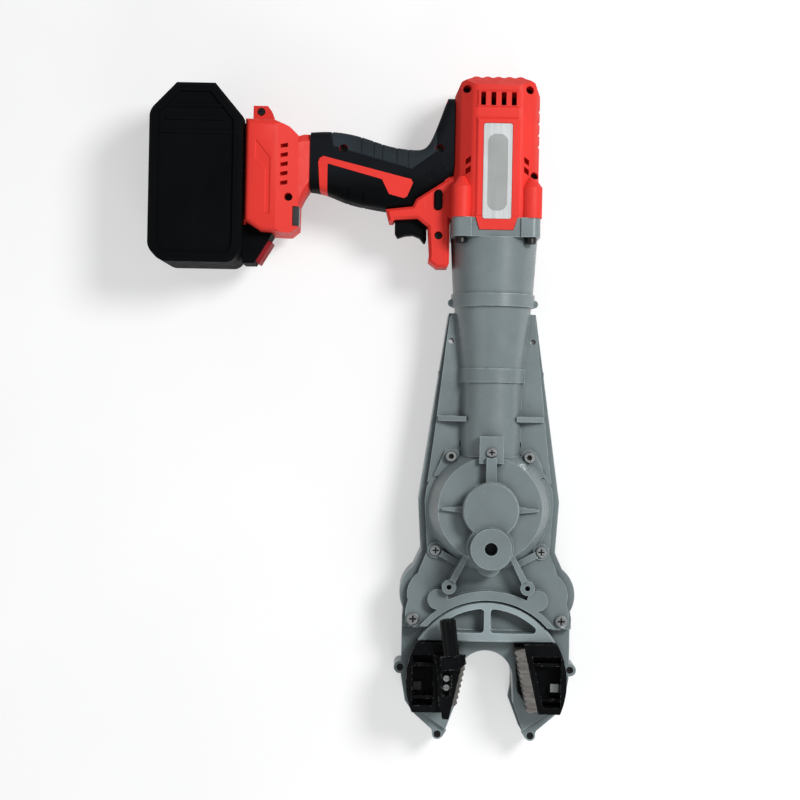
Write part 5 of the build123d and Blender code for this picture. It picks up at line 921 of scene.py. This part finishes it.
class WRENCH_OT_grips(bpy.types.Operator):
    """Rubber grips with the pad's outline, its grooves and the patch's hatching cut into them"""

    bl_idname = "wrench.grips"
    bl_label = "Grips"

    def execute(self, context):
        sizes = context.scene.wrench_sizes
        for node, up in (("grip_front", 1), ("grip_rear", -1)):
            form = merged_form(node, flatten=False)
            skin = BVHTree.FromBMesh(form)
            form.free()
            runs = self.laid(skin, PAD_LINE, up)
            runs += [self.wrap(skin, start, up, 1) for start in PAD_CUTS]
            runs += [self.wrap(skin, start, up, -1) for start in FINGER_CUTS]
            hatch = [run for line in self.patch_lines() for run in self.laid(skin, line, up)]
            deep = tubes(f"{node}_grooves", runs, sizes.groove)
            fine = tubes(f"{node}_hatch", hatch, sizes.hatch)
            self.mark_pad(grooved(node, "grip_rubber", [deep, fine]))
        return {"FINISHED"}

    def mark_pad(self, piece):
        """Splits the skin along the palm pad's edge and gives the pad a lighter copy of the rubber,
        painted light on the grip's lit back.
        """
        form = bmesh.new()
        form.from_mesh(piece.data)
        sides = []
        for first, second in zip(PAD_EDGE, PAD_EDGE[1:]):
            corner = Vector((*first, 0.0)) * MM
            inward = Vector((first[1] - second[1], second[0] - first[0], 0.0))
            skin = [*form.verts, *form.edges, *form.faces]
            bmesh.ops.bisect_plane(form, geom=skin, plane_co=corner, plane_no=inward)
            sides.append((corner, inward))
        for face in form.faces:
            spot = face.calc_center_median()
            face.material_index = int(all((spot - corner).dot(inward) > 0.0 for corner, inward in sides))
        form.to_mesh(piece.data)
        form.free()
        piece.data.materials.append(finishes()["pad_rubber"])

    def patch_lines(self):
        """Crossed lines over the four-sided patch beside the housing."""
        a, b, c, d = [Vector(corner) for corner in PATCH]
        along = [(step + 0.5) / PATCH_ALONG for step in range(PATCH_ALONG)]
        across = [(step + 0.5) / PATCH_ACROSS for step in range(PATCH_ACROSS)]
        lines = [(a.lerp(b, share), d.lerp(c, share)) for share in along]
        return lines + [(a.lerp(d, share), b.lerp(c, share)) for share in across]

    def touch(self, skin, origin, way):
        """The point where a ray meets the rubber, or nothing."""
        return skin.ray_cast(Vector(origin) * MM, Vector(way).normalized(), RAY_REACH)[0]

    def laid(self, skin, line, up):
        """A line laid on the rubber, in runs that stop at the screw holes."""
        spots = []
        for first, second in zip(line, line[1:]):
            steps = round(math.dist(first, second))
            spots += [Vector(first).lerp(Vector(second), step / steps) for step in range(steps)]
        runs = [[]]
        for spot in [*spots, line[-1]]:
            found = self.touch(skin, (spot[0], spot[1], SPLIT_Z + up * RAY_START), (0, 0, -up))
            if found is None:
                runs.append([])
            else:
                runs[-1].append(found)
        return [run for run in runs if len(run) > 1]

    def wrap(self, skin, start, up, side):
        """A groove over the rounded back or belly of the grip to the parting line."""
        points = []
        for step in range(WRAP_FLAT_STEPS):
            above = (start[0], start[1] + side * WRAP_FLAT_STEP * step, SPLIT_Z + up * RAY_START)
            points.append(self.touch(skin, above, (0, 0, -up)))
        middle = Vector((start[0], start[1] + side * WRAP_CENTRE_IN, SPLIT_Z + up * WRAP_CENTRE_OUT))
        for step in range(WRAP_TURN_FIRST, WRAP_TURN_STEPS + 1):
            lean = math.radians(WRAP_TURN * step / WRAP_TURN_STEPS)
            way = Vector((0.0, side * math.sin(lean), up * math.cos(lean)))
            points.append(self.touch(skin, middle + way * RAY_START, -way))
        return [point for point in points if point is not None]


class WRENCH_OT_label(bpy.types.Operator):
    """Bare label plate with its matt field"""

    bl_idname = "wrench.label"
    bl_label = "Label plate"

    def execute(self, context):
        softened("label_plate", "plate_metal", context.scene.wrench_sizes.plate_edge)
        low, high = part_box("label_plate")
        middle = Vector((0.0, (low.y + high.y) / 2 - FIELD_SHIFT * MM, high.z - FIELD_SINK * MM))
        field = bmesh.new()
        face = field.faces.new([field.verts.new(spot) for spot in self.outline(middle)])
        lifted = bmesh.ops.extrude_face_region(field, geom=[face])
        raised = [item for item in lifted["geom"] if isinstance(item, bmesh.types.BMVert)]
        bmesh.ops.translate(field, verts=raised, vec=(0.0, 0.0, FIELD_RISE * MM))
        bmesh.ops.recalc_face_normals(field, faces=field.faces)
        attach(formed("label_field", field, "plate_inset"), "label_plate")
        return {"FINISHED"}

    def outline(self, middle):
        """The field's outline about its middle, with four round corners."""
        radius = FIELD_CORNER * MM
        half_x = FIELD_HALF_X * MM - radius
        half_y = FIELD_HALF_Y * MM - radius
        spots = []
        for quarter, (side, end) in enumerate(((1, 1), (-1, 1), (-1, -1), (1, -1))):
            centre = middle + Vector((side * half_x, end * half_y, 0.0))
            for step in range(FIELD_CORNER_STEPS + 1):
                turn = math.radians(90 * quarter + 90 * step / FIELD_CORNER_STEPS)
                spots.append(centre + Vector((math.cos(turn), math.sin(turn), 0.0)) * radius)
        return spots


class WRENCH_OT_screws(bpy.types.Operator):
    """Socket and cross-head screws of the gear head and the casing"""

    bl_idname = "wrench.screws"
    bl_label = "Screws"

    def execute(self, context):
        sizes = context.scene.wrench_sizes
        socket = ScrewTree("socket_screw", cross=False).tree
        cross = ScrewTree("cross_screw", cross=True).tree
        cap = dict(CAP_SCREW, head_radius=sizes.cap_head)
        spots = [(x, y, CAP_SEAT) for x, y in CAP_SPOTS]
        dress(screws("cap_screws_fine", socket, spots, "screw_zinc", **cap), "cap_screws")
        spots = [(x, FLANGE_SEAT, SPLIT_Z + z) for x, z in FLANGE_SPOTS]
        flange = screws("flange_screws_fine", socket, spots, "screw_black", TOWARDS_HEAD, **cap)
        attach(flange, "cap_screws")
        guard = dict(GUARD_SCREW, head_radius=sizes.guard_head)
        spots = [(x, y, GUARD_SEAT) for x, y in GUARD_SPOTS]
        dress(screws("guard_screws_fine", socket, spots, "screw_black", **guard), "guard_screws")
        pan = dict(COVER_SCREW, head_radius=sizes.cross_head)
        pans = screws("cover_screws_fine", cross, COVER_SPOTS, "screw_zinc", scales=COVER_SCALES, **pan)
        dress(pans, "cover_cross_screws")
        small = dict(CASING_SCREW, head_radius=sizes.casing_head)
        spots = [(x, y, CASING_SEAT) for x, y in CASING_SPOTS]
        dress(screws("casing_screws_fine", cross, spots, "screw_black", **small), "casing_screws")
        return {"FINISHED"}


class WRENCH_OT_jaws(bpy.types.Operator):
    """Jaw holders, slider and lever in black, with the steel inserts"""

    bl_idname = "wrench.jaws"
    bl_label = "Jaws"

    def execute(self, context):
        sizes = context.scene.wrench_sizes
        for node in ("jaw_holder_left", "jaw_holder_right", "jaw_slider_left", "jaw_lever"):
            softened(node, "jaw_enamel", sizes.jaw_edge)
        for node in ("jaw_insert_left", "jaw_insert_right"):
            softened(node, "insert_steel", sizes.insert_edge, segments=1)
        paint_node("jaw_screws", "screw_zinc", "screw_black", self.blackened)
        return {"FINISHED"}

    def blackened(self, spot):
        return spot.x < BLACK_JAW_SCREWS_X * MM


class WRENCH_OT_battery(bpy.types.Operator):
    """Slide-on battery with its cover, cells and release button"""

    bl_idname = "wrench.battery"
    bl_label = "Battery"

    def execute(self, context):
        width = context.scene.wrench_sizes.shell_edge
        for node in ("battery_case", "battery_cover"):
            softened(node, "pack_plastic", width, shape=self.rounder)
        softened("battery_release_button", "button_plastic", width)
        paint_node("battery_cells", "cell_wrap")
        return {"FINISHED"}

    def rounder(self, form):
        round_corners(form, PACK_CORNERS, bpy.context.scene.wrench_sizes.pack_corner)


class WRENCH_OT_controls(bpy.types.Operator):
    """Trigger, direction switch and light lens, with the switch and terminals behind them"""

    bl_idname = "wrench.controls"
    bl_label = "Controls"

    def execute(self, context):
        sizes = context.scene.wrench_sizes
        for node in ("trigger", "direction_switch"):
            softened(node, "control_plastic", sizes.shell_edge)
        softened("light_lens", "lens_plastic", sizes.lens_edge)
        for node in ("switch_module", "terminal_block"):
            paint_node(node, "control_plastic")
        return {"FINISHED"}


class WRENCH_OT_drive(bpy.types.Operator):
    """Gears, shafts, bearings and motor inside the tool"""

    bl_idname = "wrench.drive"
    bl_label = "Drive train"

    gears = ["ring_idler_left", "ring_idler_right", "middle_gear_left", "middle_gear_right", "drive_gear"]
    gears += ["bevel_gear", "bevel_pinion", "planet_ring_gear"]
    planets = [f"planet_{stage}_{letter}" for stage in ("one", "two") for letter in "abc"]
    shafts = ["bevel_shaft", "output_shaft", "carrier_one", "gear_pins", "motor_shaft"]
    bearings = ["bevel_bearing_front", "bevel_bearing_rear", "output_bearings", "motor_bearings"]

    def execute(self, context):
        finish = {
            "gear_steel": [*self.gears, *self.planets, *self.shafts],
            "bearing_steel": self.bearings,
            "stacked_sheets": ["motor_stator", "rotor_core"],
            "wire_copper": ["motor_windings"],
            "control_plastic": ["motor_front_plate", "cooling_fan"],
        }
        for material, nodes in finish.items():
            for node in nodes:
                paint_node(node, material)
        return {"FINISHED"}


class WRENCH_PT_looks(bpy.types.Panel):
    """Lists the steps that dress the wrench, and its sizes and colours"""

    bl_idname = "WRENCH_PT_looks"
    bl_label = "Coupler wrench"
    bl_space_type = "VIEW_3D"
    bl_region_type = "UI"
    bl_category = "Wrench"

    def draw(self, context):
        layout = self.layout
        scene = context.scene
        for group in (scene.wrench_sizes, scene.wrench_colours, scene.wrench_stage):
            box = layout.box()
            for key in group.__annotations__:
                box.prop(group, key)
        for step in STEPS:
            layout.operator(step.bl_idname)


GROUPS = (WrenchColours, WrenchSizes, WrenchStage)
STEPS = (
    WRENCH_OT_stage,
    WRENCH_OT_castings,
    WRENCH_OT_casing,
    WRENCH_OT_grips,
    WRENCH_OT_label,
    WRENCH_OT_screws,
    WRENCH_OT_jaws,
    WRENCH_OT_battery,
    WRENCH_OT_controls,
    WRENCH_OT_drive,
)


def register():
    for item in (*GROUPS, *STEPS, WRENCH_PT_looks):
        bpy.utils.register_class(item)
    bpy.types.Scene.wrench_colours = bpy.props.PointerProperty(type=WrenchColours)
    bpy.types.Scene.wrench_sizes = bpy.props.PointerProperty(type=WrenchSizes)
    bpy.types.Scene.wrench_stage = bpy.props.PointerProperty(type=WrenchStage)


def unregister():
    del bpy.types.Scene.wrench_stage
    del bpy.types.Scene.wrench_sizes
    del bpy.types.Scene.wrench_colours
    for item in (WRENCH_PT_looks, *reversed(STEPS), *reversed(GROUPS)):
        bpy.utils.unregister_class(item)


def main():
    register()
    for step in STEPS:
        area, name = step.bl_idname.split(".")
        getattr(getattr(bpy.ops, area), name)()


if __name__ == "__main__":
    main()
